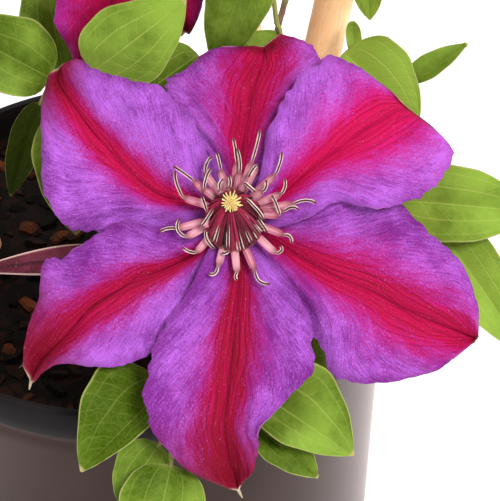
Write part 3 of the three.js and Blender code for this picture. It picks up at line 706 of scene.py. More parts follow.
@dataclass(frozen=True)
class PotPlastic:
    """Grey-brown moulded plastic, slightly scuffed, with a darker collar."""

    base: Colour = srgb(51, 36, 32)
    worn: Colour = srgb(68, 51, 47)
    collar: Colour = srgb(24, 23, 27)
    gloss: Colour = (1.0, 0.88, 0.88, 1.0)
    gloss_roughness: float = 0.34
    roughness: float = 0.34
    collar_starts: Pair = (0.1515, 0.1535)
    gloss_fades: Pair = (0.144, 0.149)

    def make(self) -> None:
        """Make the material."""
        r = Recipe(Finish.PLASTIC, self.base, 0.5, 0.05)
        place = r.place()
        clouds = r.grain(place, 14, 4, 0.6)
        pores = r.grain(place, 900, 3, 0.6)
        scuffs = r.grain(r.stretched(place, 60, 60, 420), 1, 3, 0.7)
        wear = clouds.eased(0.35, 0.7) * 0.55 + pores.eased(0.55, 0.8) * 0.12
        r.coat(wear + scuffs.eased(0.62, 0.8) * 0.25, self.worn)
        height = r.node("ShaderNodeSeparateXYZ", inputs={"Vector": place}, output="Z")
        r.coat(height.eased(*self.collar_starts, 0, 0.9), self.collar)
        r.feed("Roughness", clouds * 0.14 + scuffs * 0.12 + self.roughness)
        r.relief(pores * 0.5 + scuffs * 0.3, 0.05)
        facing = r.node("ShaderNodeLayerWeight", inputs={"Blend": 0.5}, output="Facing")
        wall = height.eased(*self.gloss_fades, 1, 0.12)
        r.sheen_over(facing.power(3.9) * wall * 0.52, self.gloss, self.gloss_roughness)


@dataclass(frozen=True)
class Bark:
    """Dark potting mix: peat with bark, in a colour that changes from crumb to crumb, with painted
    shade in its hollows.
    """

    peat: Colour = srgb(8, 4, 3)
    bark: Colour = srgb(66, 34, 18)
    rust: Colour = srgb(112, 54, 28)
    # painted shade for the hollows of the bed
    hollow: Colour = srgb(11, 7, 6)

    def make(self) -> None:
        """Make the material."""
        r = Recipe(Finish.MIX, self.peat, 0.95, 0.15)
        place = r.place()
        crumbs = r.node("ShaderNodeTexVoronoi", None, {"Vector": place, "Scale": 260}, "Color")
        crumb = r.node("ShaderNodeSeparateColor", inputs={"Color": crumbs}, output="Red")
        fibres = r.grain(place, 700, 4, 0.7)
        clods = r.grain(place, 90, 5, 0.65)
        own = r.mark("tone")
        r.coat((crumb * 0.35 + own).eased(0.35, 1.25), self.bark)
        r.coat((own - 0.2 + fibres * 0.4).eased(0.72, 0.95), self.rust)
        # Painted shade: darker where the clod bump is low, in the hollows.
        r.coat(clods.eased(0.35, 0.6, 0.75, 0), self.hollow)
        r.relief(clods * 0.6 + fibres * 0.4, 1.2)


@dataclass(frozen=True)
class Bamboo:
    """Straw-coloured cane: fine fibres along it, darker at the knots."""

    straw: Colour = srgb(255, 202, 146)
    pale: Colour = srgb(255, 214, 166)
    amber: Colour = srgb(224, 166, 110)
    scar: Colour = srgb(122, 84, 52)

    def make(self) -> None:
        """Make the material."""
        r = Recipe(Finish.BAMBOO, self.straw, 0.55, 0.2)
        across = r.across_along()[0]
        length = r.mark("length")
        fibres = r.grain(r.spot(across * 26, length * 14), 1, 3, 0.6)
        clouds = r.grain(r.spot(across * 1.6, length * 11), 1, 3, 0.5)
        flecks = r.grain(r.spot(across * 18, length * 160), 1, 2, 0.7)
        knot = r.mark("knot")
        r.coat(fibres.eased(0.3, 0.7), self.pale)
        r.coat(clouds.eased(0.5, 0.75, 0, 0.55), self.amber)
        r.coat(flecks.eased(0.68, 0.8, 0, 0.5), self.scar)
        r.coat(knot.eased(0.15, 0.9, 0, 0.45), self.amber)
        r.coat(knot.eased(0.9, 1, 0, 0.8), self.scar)
        r.relief(fibres * 0.8 + flecks * 0.2, 0.12)


@dataclass(frozen=True)
class Twine:
    """Tan jute twine, two plies twisted."""

    tan: Colour = srgb(176, 140, 92)
    shade: Colour = srgb(104, 76, 46)
    lay: float = 0.45

    def make(self) -> None:
        """Make the material."""
        r = Recipe(Finish.TWINE, self.shade, 0.9, 0.2, Sheen_Weight=0.3)
        across = r.across_along()[0]
        length = r.mark("length")
        ply = abs((length * self.lay + across).fraction() * 2 - 1)
        fibres = r.grain(r.spot(across * 6 + length * 2, length * 3), 1, 4, 0.7)
        r.coat(ply.eased(0, 0.55) * (fibres * 0.6 + 0.5), self.tan)
        r.relief(ply.eased(0, 0.7) + fibres * 0.4, 0.5)


@dataclass(frozen=True)
class LeafGreen:
    """Satin green, paler along the veins and margin and on the underside."""

    deep: Colour = srgb(50, 70, 0)
    green: Colour = srgb(90, 120, 12)
    light: Colour = srgb(143, 172, 66)
    vein: Colour = srgb(172, 186, 88)
    margin: Colour = srgb(184, 180, 108)
    tip: Colour = srgb(196, 180, 120)
    stalk: Colour = srgb(150, 152, 84)
    under: Colour = srgb(128, 148, 84)
    shadow: Colour = srgb(30, 28, 6)
    inner_vein: float = 0.43
    outer_vein: float = 0.79

    def make(self) -> None:
        """Make the material."""
        r = Recipe(Finish.GREEN, self.deep, 0.5, 0.05)
        v, t = r.across_along()
        place = r.place()
        tone = r.mark("tone")
        clouds = r.grain(place, 42, 4, 0.6)
        wobble = r.grain(place, 120, 2, 0.5)
        # Painted light and shade: each leaf's tone, partly its own colour, makes it lighter or
        # darker, and a tone below zero lays painted shadow over it.
        r.coat((tone * 0.75 + clouds * 1.7 - 0.65).eased(0.1, 1), self.light)
        r.coat(0.2, self.green)
        width = abs(v)
        rib = width.eased(0.008, 0.035, 1, 0)
        bent = width + (wobble - 0.5) * 0.05
        inner = abs(bent - self.inner_vein).eased(0.008, 0.03, 1, 0)
        outer = abs(bent - self.outer_vein).eased(0.008, 0.026, 1, 0)
        veins = r.maths("MAXIMUM", rib, r.maths("MAXIMUM", inner * 0.75, outer * 0.45))
        slant = (t * 9 - width * 2.6 + (wobble - 0.5) * 0.9).fraction()
        side = abs(slant - 0.5).eased(0.03, 0.09, 1, 0)
        cells = r.node(
            "ShaderNodeTexVoronoi", {"feature": "DISTANCE_TO_EDGE"},
            {"Vector": place, "Scale": 480}, "Distance",
        )
        net = cells.eased(0.03, 0.14, 1, 0)
        r.coat(net * 0.05, self.vein)
        r.coat(side * 0.07, self.vein)
        r.coat(veins * tone.eased(0.1, 0.8, 0.16, 0.5), self.vein)
        r.coat(width.eased(0.955, 0.995) * 0.55, self.margin)
        r.coat(t.eased(0.955, 0.99, 0, 0.8), self.tip)
        stalk, under = r.mark("stalk"), r.mark("under")
        r.coat(stalk, self.stalk)
        r.coat(under * (1 - stalk) * 0.75, self.under)
        r.coat(tone.eased(-1, -0.1, 0.85, 0), self.shadow)
        r.feed("Roughness", clouds * 0.16 + under * 0.15 + 0.42)
        dents = (1 - veins) * 0.28 + (1 - side) * 0.16 + (1 - net) * 0.05 + wobble * 0.5
        r.relief(dents, 0.5, 0.8)


@dataclass(frozen=True)
class StemBrown:
    """Wiry stem: purple-brown and green, lightly ribbed."""

    brown: Colour = srgb(112, 78, 62)
    green: Colour = srgb(124, 126, 66)
    groove: Colour = srgb(70, 44, 38)

    def make(self) -> None:
        """Make the material."""
        r = Recipe(Finish.BROWN, self.brown, 0.55, 0.35)
        across, along = r.across_along()
        clouds = r.grain(r.place(), 30, 3, 0.6)
        ribs = r.grain(r.spot(across * 5, along * 3), 1, 2, 0.5)
        r.coat(clouds.eased(0.4, 0.62), self.green)
        r.coat(ribs.eased(0.5, 0.7, 0, 0.35), self.groove)
        r.relief(ribs, 0.4)


@dataclass(frozen=True)
class TepalSatin:
    """Violet satin with a crimson bar that feathers out through magenta."""

    # dark veins of the bar, and painted shade along the rib's crease
    vein_dark_and_crease_shade: Colour = srgb(92, 2, 30)
    deep: Colour = srgb(136, 2, 34)
    crimson: Colour = srgb(208, 4, 86)
    magenta: Colour = srgb(150, 16, 104)
    pink: Colour = srgb(194, 20, 126)
    violet: Colour = srgb(120, 32, 132)
    lilac: Colour = srgb(186, 102, 218)
    # painted shade at the margins
    plum: Colour = srgb(104, 28, 108)
    tip: Colour = srgb(128, 2, 34)
    point: Colour = srgb(238, 214, 180)
    painted_sparkle_highlight: Colour = srgb(240, 176, 236)
    # painted shade at the tepals' base, by the centre
    foot: Colour = srgb(96, 24, 84)
    under: Colour = srgb(190, 128, 184)
    stripes: float = 11.0

    def make(self) -> None:
        """Make the material."""
        r = Recipe(Finish.SATIN, self.violet, 0.5, 0.12)
        v, t = r.across_along()
        width = abs(v)
        tone, glow, under = r.mark("tone"), r.mark("glow"), r.mark("under")
        rays = t - width.power(0.6) * 0.55
        threads = r.grain(r.spot(v * 42, t * 5, tone * 9), 1, 4, 0.6)
        plumes = r.grain(r.spot(rays * 17, width * 2.2, tone * 7 + v), 1, 4, 0.65)
        grain = r.grain(r.spot(rays * 150, width * 8, tone * 9 + v), 1, 4, 0.7)
        speckle = r.grain(r.place(), 1900, 2, 0.7)
        clouds = r.grain(r.place(), 70, 4, 0.6)
        dapple = r.grain(r.place(), 1300, 3, 0.75) * 0.6 + grain * 0.4
        sway = r.grain(r.spot(v * 3, t * 4, tone * 5), 1, 1, 0.5)

        # The bar goes from 0 at the rib to 1 at its own edge and on into the field.
        bar = r.mark("bar") + (threads - 0.5) * 0.5 + (plumes - 0.5) * 1.3
        bar = bar + (grain - 0.5) * 1.3 + (speckle - 0.5) * 0.8
        feather = bar * (1.4 - glow * 0.56)
        core = bar.eased(0.45, 1.3, 1, 0)
        # The tone mark is partly the tepal's own colour and partly painted light and shade, with
        # one half lighter where the tepal leans.
        ground = clouds.eased(0.3, 0.7) * 0.45 + tone * 0.6 + (speckle - 0.5) * 0.7
        r.coat((ground + (grain - 0.5) * 1.4 + 0.05).eased(0.2, 1.05), self.lilac)
        # Painted shade: plum darkens each tepal towards its margin.
        r.coat(width.eased(0.82, 1, 0, 0.4), self.plum)
        flush = r.blend(glow + (threads - 0.5) * 0.8, self.magenta, self.pink)
        r.coat(dapple.eased(0.44, 0.6) * feather.eased(1, 3.6, 0.8, 0), flush)
        r.coat(feather.eased(0.7, 2.2, 1, 0), flush)
        red = r.blend(glow * 0.9 + 0.05 + (threads - 0.5) * 1.9, self.deep, self.crimson)
        r.coat(core, red)
        stripe = abs((width * self.stripes + (sway - 0.5) * 3).fraction() - 0.5)
        veins = stripe.eased(0.02, 0.17, 1, 0) * core * threads.eased(0.25, 0.5)
        r.coat(veins * (0.52 - glow * 0.44), self.vein_dark_and_crease_shade)
        # Painted shade: a dark line down the rib, in the crease.
        rib = width.eased(0.006, 0.03, 1, 0) * t.eased(0.02, 0.2)
        r.coat(rib * (0.5 - glow * 0.5), self.vein_dark_and_crease_shade)
        r.coat(r.mark("tip") * 0.94, self.tip)
        r.coat(r.mark("point"), self.point)
        # Painted highlights: pale specks that stand for glints on the satin.
        r.coat(speckle.eased(0.62, 0.8, 0, 0.34), self.painted_sparkle_highlight)
        # Painted shade: darker towards the tepal's base, by the flower's centre.
        r.coat(t.eased(0, 0.16, 0.6, 0), self.foot)
        r.coat(under * 0.6, self.under)
        r.feed("Roughness", grain * 0.2 + 0.45)
        height = grain * 0.6 + threads * 0.25 + speckle * 0.6 + plumes * 0.4
        r.relief(height - rib * 0.4 - veins * 0.35, 0.55, 0.9)


@dataclass(frozen=True)
class StamenPink:
    """Dusty pink filaments and cream anthers with a dark line down each."""

    pink: Colour = srgb(226, 166, 178)
    rose: Colour = srgb(172, 70, 102)
    dome: Colour = srgb(108, 4, 34)
    # painted shade in the gaps between the closed stamens
    painted_gap_shade: Colour = srgb(40, 0, 14)
    # painted highlight on the closed stamens' streaks
    painted_gleam_highlight: Colour = srgb(204, 44, 92)
    cream: Colour = srgb(240, 216, 204)
    streak: Colour = srgb(196, 140, 128)
    line: Colour = srgb(70, 14, 28)
    end: Colour = srgb(104, 20, 40)
    tan: Colour = srgb(206, 158, 120)

    def make(self) -> None:
        """Make the material."""
        r = Recipe(Finish.PINK, self.rose, 0.6, 0.3)
        v, t = r.across_along()
        width = abs(v)
        tone = r.mark("tone")
        streak = r.grain(r.spot(v * 8, t * 4, tone * 20), 1, 3, 0.6)
        r.coat((streak * 1.3 + tone * 0.25 - width * 0.3).eased(0.25, 0.95), self.pink)
        # Closed stamens: painted shade darkens them towards their edges, in the gaps, and painted
        # highlights lighten their streaks.
        dark = r.blend(width.eased(0, 0.55), self.dome, self.painted_gap_shade)
        painted_gleam_highlight = (streak * 1.4 + tone.fraction() * 0.4).eased(0.8, 1.15, 0, 0.6)
        r.coat(r.mark("inner"), r.blend(painted_gleam_highlight, dark, self.painted_gleam_highlight))
        pale = r.blend(streak.eased(0.45, 0.7, 0, 0.5), self.cream, self.streak)
        ragged = abs(v - 0.5 + streak * 0.8) - (streak - 0.5) * 0.6
        pale = r.blend(ragged.eased(0.42, 0.66, 1, 0), pale, self.line)
        r.coat(r.mark("anther"), pale)
        r.coat(r.mark("end") * 0.85, self.end)
        r.coat(r.mark("tan"), self.tan)
        r.relief(streak, 0.15)


@dataclass(frozen=True)
class StyleCream:
    """Cream-yellow styles, darker between them near their shared foot, which is painted shade."""

    cream: Colour = srgb(248, 232, 164)
    straw: Colour = srgb(206, 172, 96)

    def make(self) -> None:
        """Make the material."""
        r = Recipe(Finish.CREAM, self.straw, 0.6, 0.3)
        speckle = r.grain(r.place(), 1400, 2, 0.6)
        # Painted shade: the tone mark falls to 0 at the rays' shared foot, where they crowd.
        r.coat(r.mark("tone") * 0.7 + speckle * 0.3, self.cream)
        r.relief(speckle, 0.1)


@dataclass(frozen=True)
class BudMaroon:
    """Maroon bud with cream seams and a green foot."""

    maroon: Colour = srgb(78, 12, 32)
    plum: Colour = srgb(104, 30, 54)
    groove: Colour = srgb(50, 8, 22)
    cream: Colour = srgb(228, 188, 176)
    green: Colour = srgb(128, 132, 72)

    def make(self) -> None:
        """Make the material."""
        r = Recipe(Finish.MAROON, self.maroon, 0.6, 0.2, Sheen_Weight=0.05)
        clouds = r.grain(r.place(), 160, 3, 0.6)
        down = r.grain(r.stretched(r.place(), 1, 1, 0.4), 1600, 2, 0.7)
        seam = r.mark("seam")
        r.coat(clouds.eased(0.35, 0.7), self.plum)
        r.coat(seam.eased(0.05, 0.25, 0.8, 0), self.groove)
        r.coat(down.eased(0.55, 0.8, 0, 0.13), self.cream)
        r.coat((seam + (down - 0.5) * 0.06).eased(0.84, 0.95, 0, 0.95), self.cream)
        r.coat(r.mark("rise").eased(0, 0.22, 0.8, 0), self.green)
        r.relief(down * 0.5 + clouds * 0.5 - seam * 0.5, 0.4)


@dataclass(frozen=True)
class FloorWhite:
    """The studio's pale floor."""

    light: Colour = (0.93, 0.93, 0.93, 1.0)
    shade: Colour = (0.88, 0.88, 0.89, 1.0)

    def make(self) -> None:
        """Make the material."""
        glow = {"Emission_Color": (1, 1, 1, 1), "Emission_Strength": 0.15}
        r = Recipe(Finish.FLOOR, self.light, 0.7, 0.2, **glow)
        r.coat(r.grain(r.place(), 3, 2, 0.5) * 0.1, self.shade)


# ---- the pot and what fills it ----
@dataclass
class Pot:
    """The moulded nursery pot: straight sides, a thicker collar and four drain holes."""

    rim: float = 93.0
    base: float = 87.0
    wall: float = 2.6
    floor: float = 3.0
    collar: float = 13.0
    drain: float = 5.0
    drains: int = 4
    drain_ring: float = 52.0
    sides: int = 160
    edge_angle: float = 32.0

    def outer(self, z: float) -> float:
        """Find the outer radius of the wall at a height."""
        return self.base + (self.rim - 1.5 - self.base) / POT_HEIGHT * z

    def profile(self) -> list[Pair]:
        """List the rings of the wall, from the middle of the underside round to the floor."""
        top, rim, base = POT_HEIGHT, self.rim, self.base
        low = top - self.collar
        inner = self.outer(top - 3) - self.wall
        foot = [
            (20, 0), (self.drain_ring - 12, 0), (base - 9, 0), (base - 8, 1.4),
            (base - 4.4, 1.4), (base - 3.6, 0), (base - 1.5, 0), (base - 0.5, 0.35),
            (self.outer(1.5), 1.5),
        ]
        side = [(self.outer(z), z) for z in (12, 40, 80, 120, low - 2.0)]
        step = [
            (self.outer(low) + 0.1, low - 0.4), (rim - 0.9, low + 1.2),
            (rim - 0.35, low + 2.2), (rim - 0.2, low + 6),
        ]
        lip = [
            (rim - 0.15, top - 1.3), (rim - 0.5, top - 0.4), (rim - 1.2, top), (rim - 2.6, top),
            (rim - 3.3, top - 0.3), (inner + 0.4, top - 1.6), (inner, top - 3),
        ]
        inside = [(self.outer(z) - self.wall, z) for z in (120, 60, self.floor + 4)]
        well = [(self.outer(3) - self.wall - 1.4, self.floor + 0.6), (30, self.floor)]
        return foot + side + step + lip + inside + well

    def build(self) -> None:
        """Turn the wall, cut the drain holes and dress the pot."""
        pot = lathe("pot_shell", self.profile(), self.sides)
        for hole in range(self.drains):
            angle = TAU / 8 + hole * TAU / self.drains
            x, y = self.drain_ring * cos(angle), self.drain_ring * sin(angle)
            deselect()
            bpy.ops.mesh.primitive_cylinder_add(
                vertices=32, radius=self.drain * MM, depth=16 * MM, location=(x * MM, y * MM, 0)
            )
            drill = added(f"drill_{hole}")
            modify(pot, "BOOLEAN", operation="DIFFERENCE", solver="EXACT", object=drill)
            bpy.data.objects.remove(drill)
        shade(pot, self.edge_angle)
        hand_over(pot, Finish.PLASTIC, "pot")


@dataclass
class Soil:
    """The potting mix: a lumpy bed with loose chips of bark on it."""

    radius: float = 88.2
    side_top: float = 147.0
    bevel: float = 5.0
    relief: float = 2.0
    chips: int = 420
    kinds: int = 5
    sizes: tuple[float, ...] = (2.2, 2.8, 3.4, 4.4, 6.0)
    form: Triple = (1.25, 0.75, 0.42)
    seed: int = 7
    clear_of: list[tuple[Vector, float]] = field(default_factory=list)

    def level(self, x: float, y: float) -> float:
        """Find the height of the bed at a place."""
        broad = noise.noise(Vector((x / 26, y / 26, 3.1)))
        fine = noise.noise(Vector((x / 7, y / 7, 8.4)))
        return SOIL_TOP - 0.6 + self.relief * (0.75 * broad + 0.55 * fine)

    def bed(self) -> Piece:
        """Shape the plug that fills the pot: rings of its underside, its side and its top."""
        rings, under, side = 64, 12, 18

        def shape(turn: float, rise: float) -> Vector:
            """Find a point of the plug."""
            angle, ring = TAU * turn, round(rise * rings)
            inner = self.radius - self.bevel
            if ring <= under:
                return round_at(inner * sqrt(ring / under), angle, SOIL_FOOT)
            if ring <= side:
                share = (ring - under) / (side - under)
                height = mix(SOIL_FOOT, self.side_top, share)
                return round_at(mix(inner, self.radius, share), angle, height)
            radius = min(self.radius * (rings - ring) / (rings - side - 1), self.radius)
            height = self.level(radius * cos(angle), radius * sin(angle))
            return round_at(radius, angle, height)

        bed = ball("soil_bed", 128, rings, shape)
        mark(bed, "tone", 0.3)
        return bed

    def chip(self, kind: int) -> Piece:
        """Model one chip of bark: a cube that is cut across and chipped at its corners."""
        draw = random.Random(100 + kind)
        deselect()
        bpy.ops.mesh.primitive_cube_add(size=1)
        chip = added(f"chip_{kind}")
        go_to("EDIT")
        bpy.ops.mesh.select_all(action="SELECT")
        bpy.ops.mesh.subdivide(number_cuts=1)
        go_to("OBJECT")
        for vertex in chip.data.vertices:
            is_corner = vertex.co.length > 0.8
            vertex.co = vertex.co * (0.82 if is_corner else 1.0)
            vertex.co += Vector([draw.uniform(-0.12, 0.12) for _ in range(3)])
        return chip

    def mulch(self) -> Piece:
        """Scatter copies of a few chips over the bed, clear of the stems and canes."""
        draw = random.Random(self.seed)
        masters = [self.chip(kind) for kind in range(self.kinds)]
        scattered = []
        while len(scattered) < self.chips:
            radius = (self.radius - 3) * sqrt(draw.random())
            angle = TAU * draw.random()
            x, y = radius * cos(angle), radius * sin(angle)
            size = draw.choice(self.sizes)
            turn = Quaternion(UP, draw.random() * TAU)
            tip = Quaternion(RIGHT, draw.uniform(-0.6, 0.6))
            tone = draw.random()
            room = size * 0.7
            if radius + room > self.radius:
                continue
            here = Vector((x, y, 0))
            if any((here - spot).length < gap + room for spot, gap in self.clear_of):
                continue
            master = masters[len(scattered) % len(masters)]
            copy = master.copy()
            copy.data = master.data.copy()
            bpy.context.scene.collection.objects.link(copy)
            here.z = self.level(x, y) + size * 0.08
            turned = (turn @ tip).to_matrix().to_4x4()
            form = Matrix.Diagonal((*(size * share for share in self.form), 1))
            copy.data.transform(Matrix.Translation(here * MM) @ turned @ Matrix.Scale(MM, 4) @ form)
            mark(copy, "tone", tone)
            scattered.append(copy)
        for master in masters:
            bpy.data.objects.remove(master)
        return shade(join("soil_bark_chips", scattered), 30)

    def build(self) -> None:
        """Make the bed and the chips, and dress them."""
        hand_over(self.bed(), Finish.MIX, "soil")
        hand_over(self.mulch(), Finish.MIX, "soil")


# ---- the trellis ----
@dataclass
class Cane:
    """One length of bamboo, with a knot at each place listed."""

    node: str
    start: Vector
    direction: Vector
    length: float
    radius: float
    knots: list[float]
    sides: int = 40
    ring_gap: int = 14
    cut_wall: float = 0.45
    bore_depth: float = 0.8
    edge_angle: float = 40.0

    def profile(self) -> list[Pair]:
        """List the rings of the cane from its foot to its top."""
        r, end = self.radius, self.length
        rings = [(r - 0.6, 0.0), (r - 0.15, 0.25), (r, 0.7)]
        for z in range(self.ring_gap, int(end) - 8, self.ring_gap):
            if all(abs(z - knot) > 9 for knot in self.knots):
                rings.append((r + 0.09 * sin(z * 1.7), float(z)))
        swelling = (
            (0, -6), (0.1, -3), (0.5, -1.2), (0.68, -0.5), (0.3, -0.15), (0.25, 0.15),
            (0.66, 0.5), (0.45, 1.3), (0.1, 2.8), (0, 5),
        )
        for knot in self.knots:
            rings += [(r + proud, knot + gap) for proud, gap in swelling]
        rings.sort(key=lambda ring: ring[1])
        return rings + [(r, end - 0.7), (r - 0.15, end - 0.2), (r - 0.6, end)]

    def build(self) -> None:
        """Turn the cane, hollow its ends, mark its knots, stand it in its place and dress it."""
        cane = lathe(f"{self.node}_rod", self.profile(), self.sides)
        self.hollow(cane)
        shade(cane, self.edge_angle)
        self.chart(cane)
        matrix = Matrix.Translation(self.start + PLANT_PLACE) @ turn_to(self.direction)
        put(cane, matrix)
        hand_over(cane, Finish.BAMBOO, self.node)

    def hollow(self, cane: Piece) -> None:
        """Sink the bore of the stem a little way into each sawn end."""
        take(cane)
        for end, sign in ((0.0, 1), (self.length, -1)):
            go_to("EDIT")
            bpy.ops.mesh.select_mode(type="FACE")
            bpy.ops.mesh.select_all(action="DESELECT")
            go_to("OBJECT")
            for polygon in cane.data.polygons:
                is_flat = abs(polygon.center.z - end * MM) < 0.05 * MM
                polygon.select = is_flat and len(polygon.vertices) == self.sides
            go_to("EDIT")
            bpy.ops.mesh.inset(thickness=(self.radius - 0.6) * self.cut_wall * MM)
            bpy.ops.mesh.extrude_region_move(
                TRANSFORM_OT_translate={"value": (0, 0, sign * self.radius * self.bore_depth * MM)}
            )
            bpy.ops.mesh.select_mode(type="VERT")
            go_to("OBJECT")

    def chart(self, cane: Piece) -> None:
        """Give the cane a map across and along it, and mark its length and its knots."""
        mesh = cane.data
        mark(cane, "length", (v.co.z / (100 * MM) + self.start.x for v in mesh.vertices))
        nearest = [min(abs(v.co.z / MM - knot) for knot in self.knots) for v in mesh.vertices]
        mark(cane, "knot", (1.0 if gap < 0.2 else bell(gap, 3.5) * 0.8 for gap in nearest))
        chart = mesh.uv_layers.get("UVMap") or mesh.uv_layers.new(name="UVMap")
        for polygon in mesh.polygons:
            angle = atan2(polygon.center.y, polygon.center.x)
            for loop in polygon.loop_indices:
                corner = mesh.vertices[mesh.loops[loop].vertex_index].co
                own = atan2(corner.y, corner.x)
                own += TAU * round((angle - own) / TAU)
                chart.data[loop].uv = (own / TAU + 0.5, corner.z / (self.length * MM))


@dataclass
class Tie:
    """Twine wound aslant round two rods that cross, with a knot and two tails in front."""

    node: str
    place: Vector
    back: tuple[float, float, Vector]
    front: tuple[float, float, Vector]
    cord: float = 0.8
    stand: float = 2.0
    shift: float = 0.85
    steps: int = 48

    def ring(self, clear: float, shift: float, angle: float) -> Vector:
        """Find a point of the loop.

        Args:
            clear: How far it stands off the rods.
            shift: How far it lies to one side of the crossing.
            angle: How far it is round the loop.

        Returns:
            The point.
        """
        back_axis, front_axis = self.back[2].normalized(), self.front[2].normalized()
        slant = (back_axis + front_axis).normalized()
        plane = slant.cross(BACKWARD)
        side, depth = cos(angle), sin(angle)
        best, point = -inf, Vector()
        for y, radius, axis in (self.back, self.front):
            wide = radius / slant.cross(axis.normalized()).length
            size = hypot(wide * side, radius * depth)
            if size + y * depth > best:
                best = size + y * depth
                point = self.place + slant * (wide * wide * side / size + clear * side)
                point.y = y + radius * radius * depth / size + clear * depth
        return point + plane * shift

    def build(self) -> None:
        """Wind two turns of twine, knot them, and dress the tie."""
        strands = []
        for turn, shift in enumerate((-self.shift, self.shift)):
            points = [
                self.ring(self.stand - self.cord, shift, TAU * step / self.steps)
                for step in range(self.steps + 1)
            ]
            strands.append(self.strand(f"{self.node}_turn_{turn}", points, True))
        middle, proud, near = -TAU / 4, self.stand + 0.2, 0.2
        front = self.ring(proud, 0.0, middle)
        after, before = self.ring(proud, 0, middle + near), self.ring(proud, 0, middle - near)
        slant = (after - before).normalized()
        plane = slant.cross(BACKWARD).normalized()
        knot = []
        for step in range(17):
            angle = TAU * step / 16
            spin = plane * (2.0 * cos(angle)) + FORWARD * (0.9 * sin(angle) + 0.2)
            knot.append(front + spin + slant * (0.8 * sin(2 * angle)))
        strands.append(self.strand(f"{self.node}_knot", knot, False))
        for side in (-1, 1):
            tail = [
                front + plane * (side * 0.6) + FORWARD * 0.4,
                front + plane * (side * 2.6) + FORWARD * 1.3 - UP * 0.8,
                front + plane * (side * 3.8) + FORWARD * 1.0 - UP * 3.6,
                front + plane * (side * 3.4) + FORWARD * 0.5 - UP * 6.4,
            ]
            strands.append(self.strand(f"{self.node}_tail_{side}", tail, False))
        tie = join(f"{self.node}_twine", strands)
        hand_over(tie, Finish.TWINE, self.node)

    def strand(self, name: str, points: list[Vector], closed: bool) -> Piece:
        """Make one length of cord, and mark how far along it each vertex is."""
        curve = Curve([point + PLANT_PLACE for point in points])
        steps = 64 if closed else 20
        cord = tube(name, curve, lambda t: self.cord, steps, 8, closed)
        reach = sum((b - a).length for a, b in zip(points, points[1:]))
        values = [0.0] * len(cord.data.vertices)
        for loop, corner in zip(cord.data.loops, cord.data.uv_layers["UVMap"].data):
            values[loop.vertex_index] = corner.uv.y * reach
        mark(cord, "length", values)
        return cord


@dataclass
class Trellis:
    """Three fanned canes, a shorter one in front, three rungs and their ties."""

    rungs: dict[str, float] = field(
        default_factory=lambda: {"low": 290.0, "middle": 410.0, "top": 530.0}
    )

    @staticmethod
    def fan(z: float) -> float:
        """Find how far out the outer canes stand at a height."""
        return FAN_FOOT + FAN_SLOPE * (z - SOIL_TOP)

    def canes(self) -> list[Cane]:
        """List the canes, from where each leaves the soil, its lean, its ends and its knots."""
        rows = []
        for name, side, spacing in (
            ("left", -1, (150, 128)), ("middle", 0, (130, 140)), ("right", 1, (176, 128)),
        ):
            foot = Vector((side * FAN_FOOT, FAN_Y, SOIL_TOP))
            lean = Vector((side * FAN_SLOPE, 0, 1))
            rows.append((f"cane_{name}", foot, lean, CANE_TOP, CANE_ROOT, spacing))
        rows.append(("cane_front", FRONT_FOOT, FRONT_LEAN, 303, 9, (62, 200)))
        canes = []
        for name, foot, lean, top, root, (first, gap) in rows:
            step = lean / lean.z
            start = foot - step * root
            length = (top - start.z) * step.length
            knots = list(range(first, int(length) - 10, gap))
            canes.append(Cane(name, start, step.normalized(), length, CANE_RADIUS, knots))
        return canes

    def build(self) -> None:
        """Make the canes, rungs and ties, and dress them."""
        for cane in self.canes():
            cane.build()
        for name, z in self.rungs.items():
            half = self.fan(z) + RUNG_OVERHANG
            Cane(
                f"rung_{name}", Vector((-half, RUNG_Y, z)), RIGHT, 2 * half, RUNG_RADIUS,
                [0.55 * half, 1.5 * half], 32,
            ).build()
        for level, z in self.rungs.items():
            for name, side in (("left", -1), ("middle", 0), ("right", 1)):
                cane = (FAN_Y, CANE_RADIUS, Vector((side * FAN_SLOPE, 0, 1)))
                rung = (RUNG_Y, RUNG_RADIUS, RIGHT)
                place = Vector((side * self.fan(z), FAN_Y, z))
                Tie(f"tie_{level}_{name}", place, cane, rung).build()
        crossing = FRONT_FOOT + FRONT_LEAN * ((self.rungs["low"] - FRONT_FOOT.z) / FRONT_LEAN.z)
        rung = (RUNG_Y, RUNG_RADIUS, Vector((-1, 0, 0)))
        upright = Vector((FRONT_LEAN.x, 0, FRONT_LEAN.z))
        cane = (crossing.y - 0.6, CANE_RADIUS + 0.9, upright)
        Tie("tie_front", crossing, rung, cane).build()


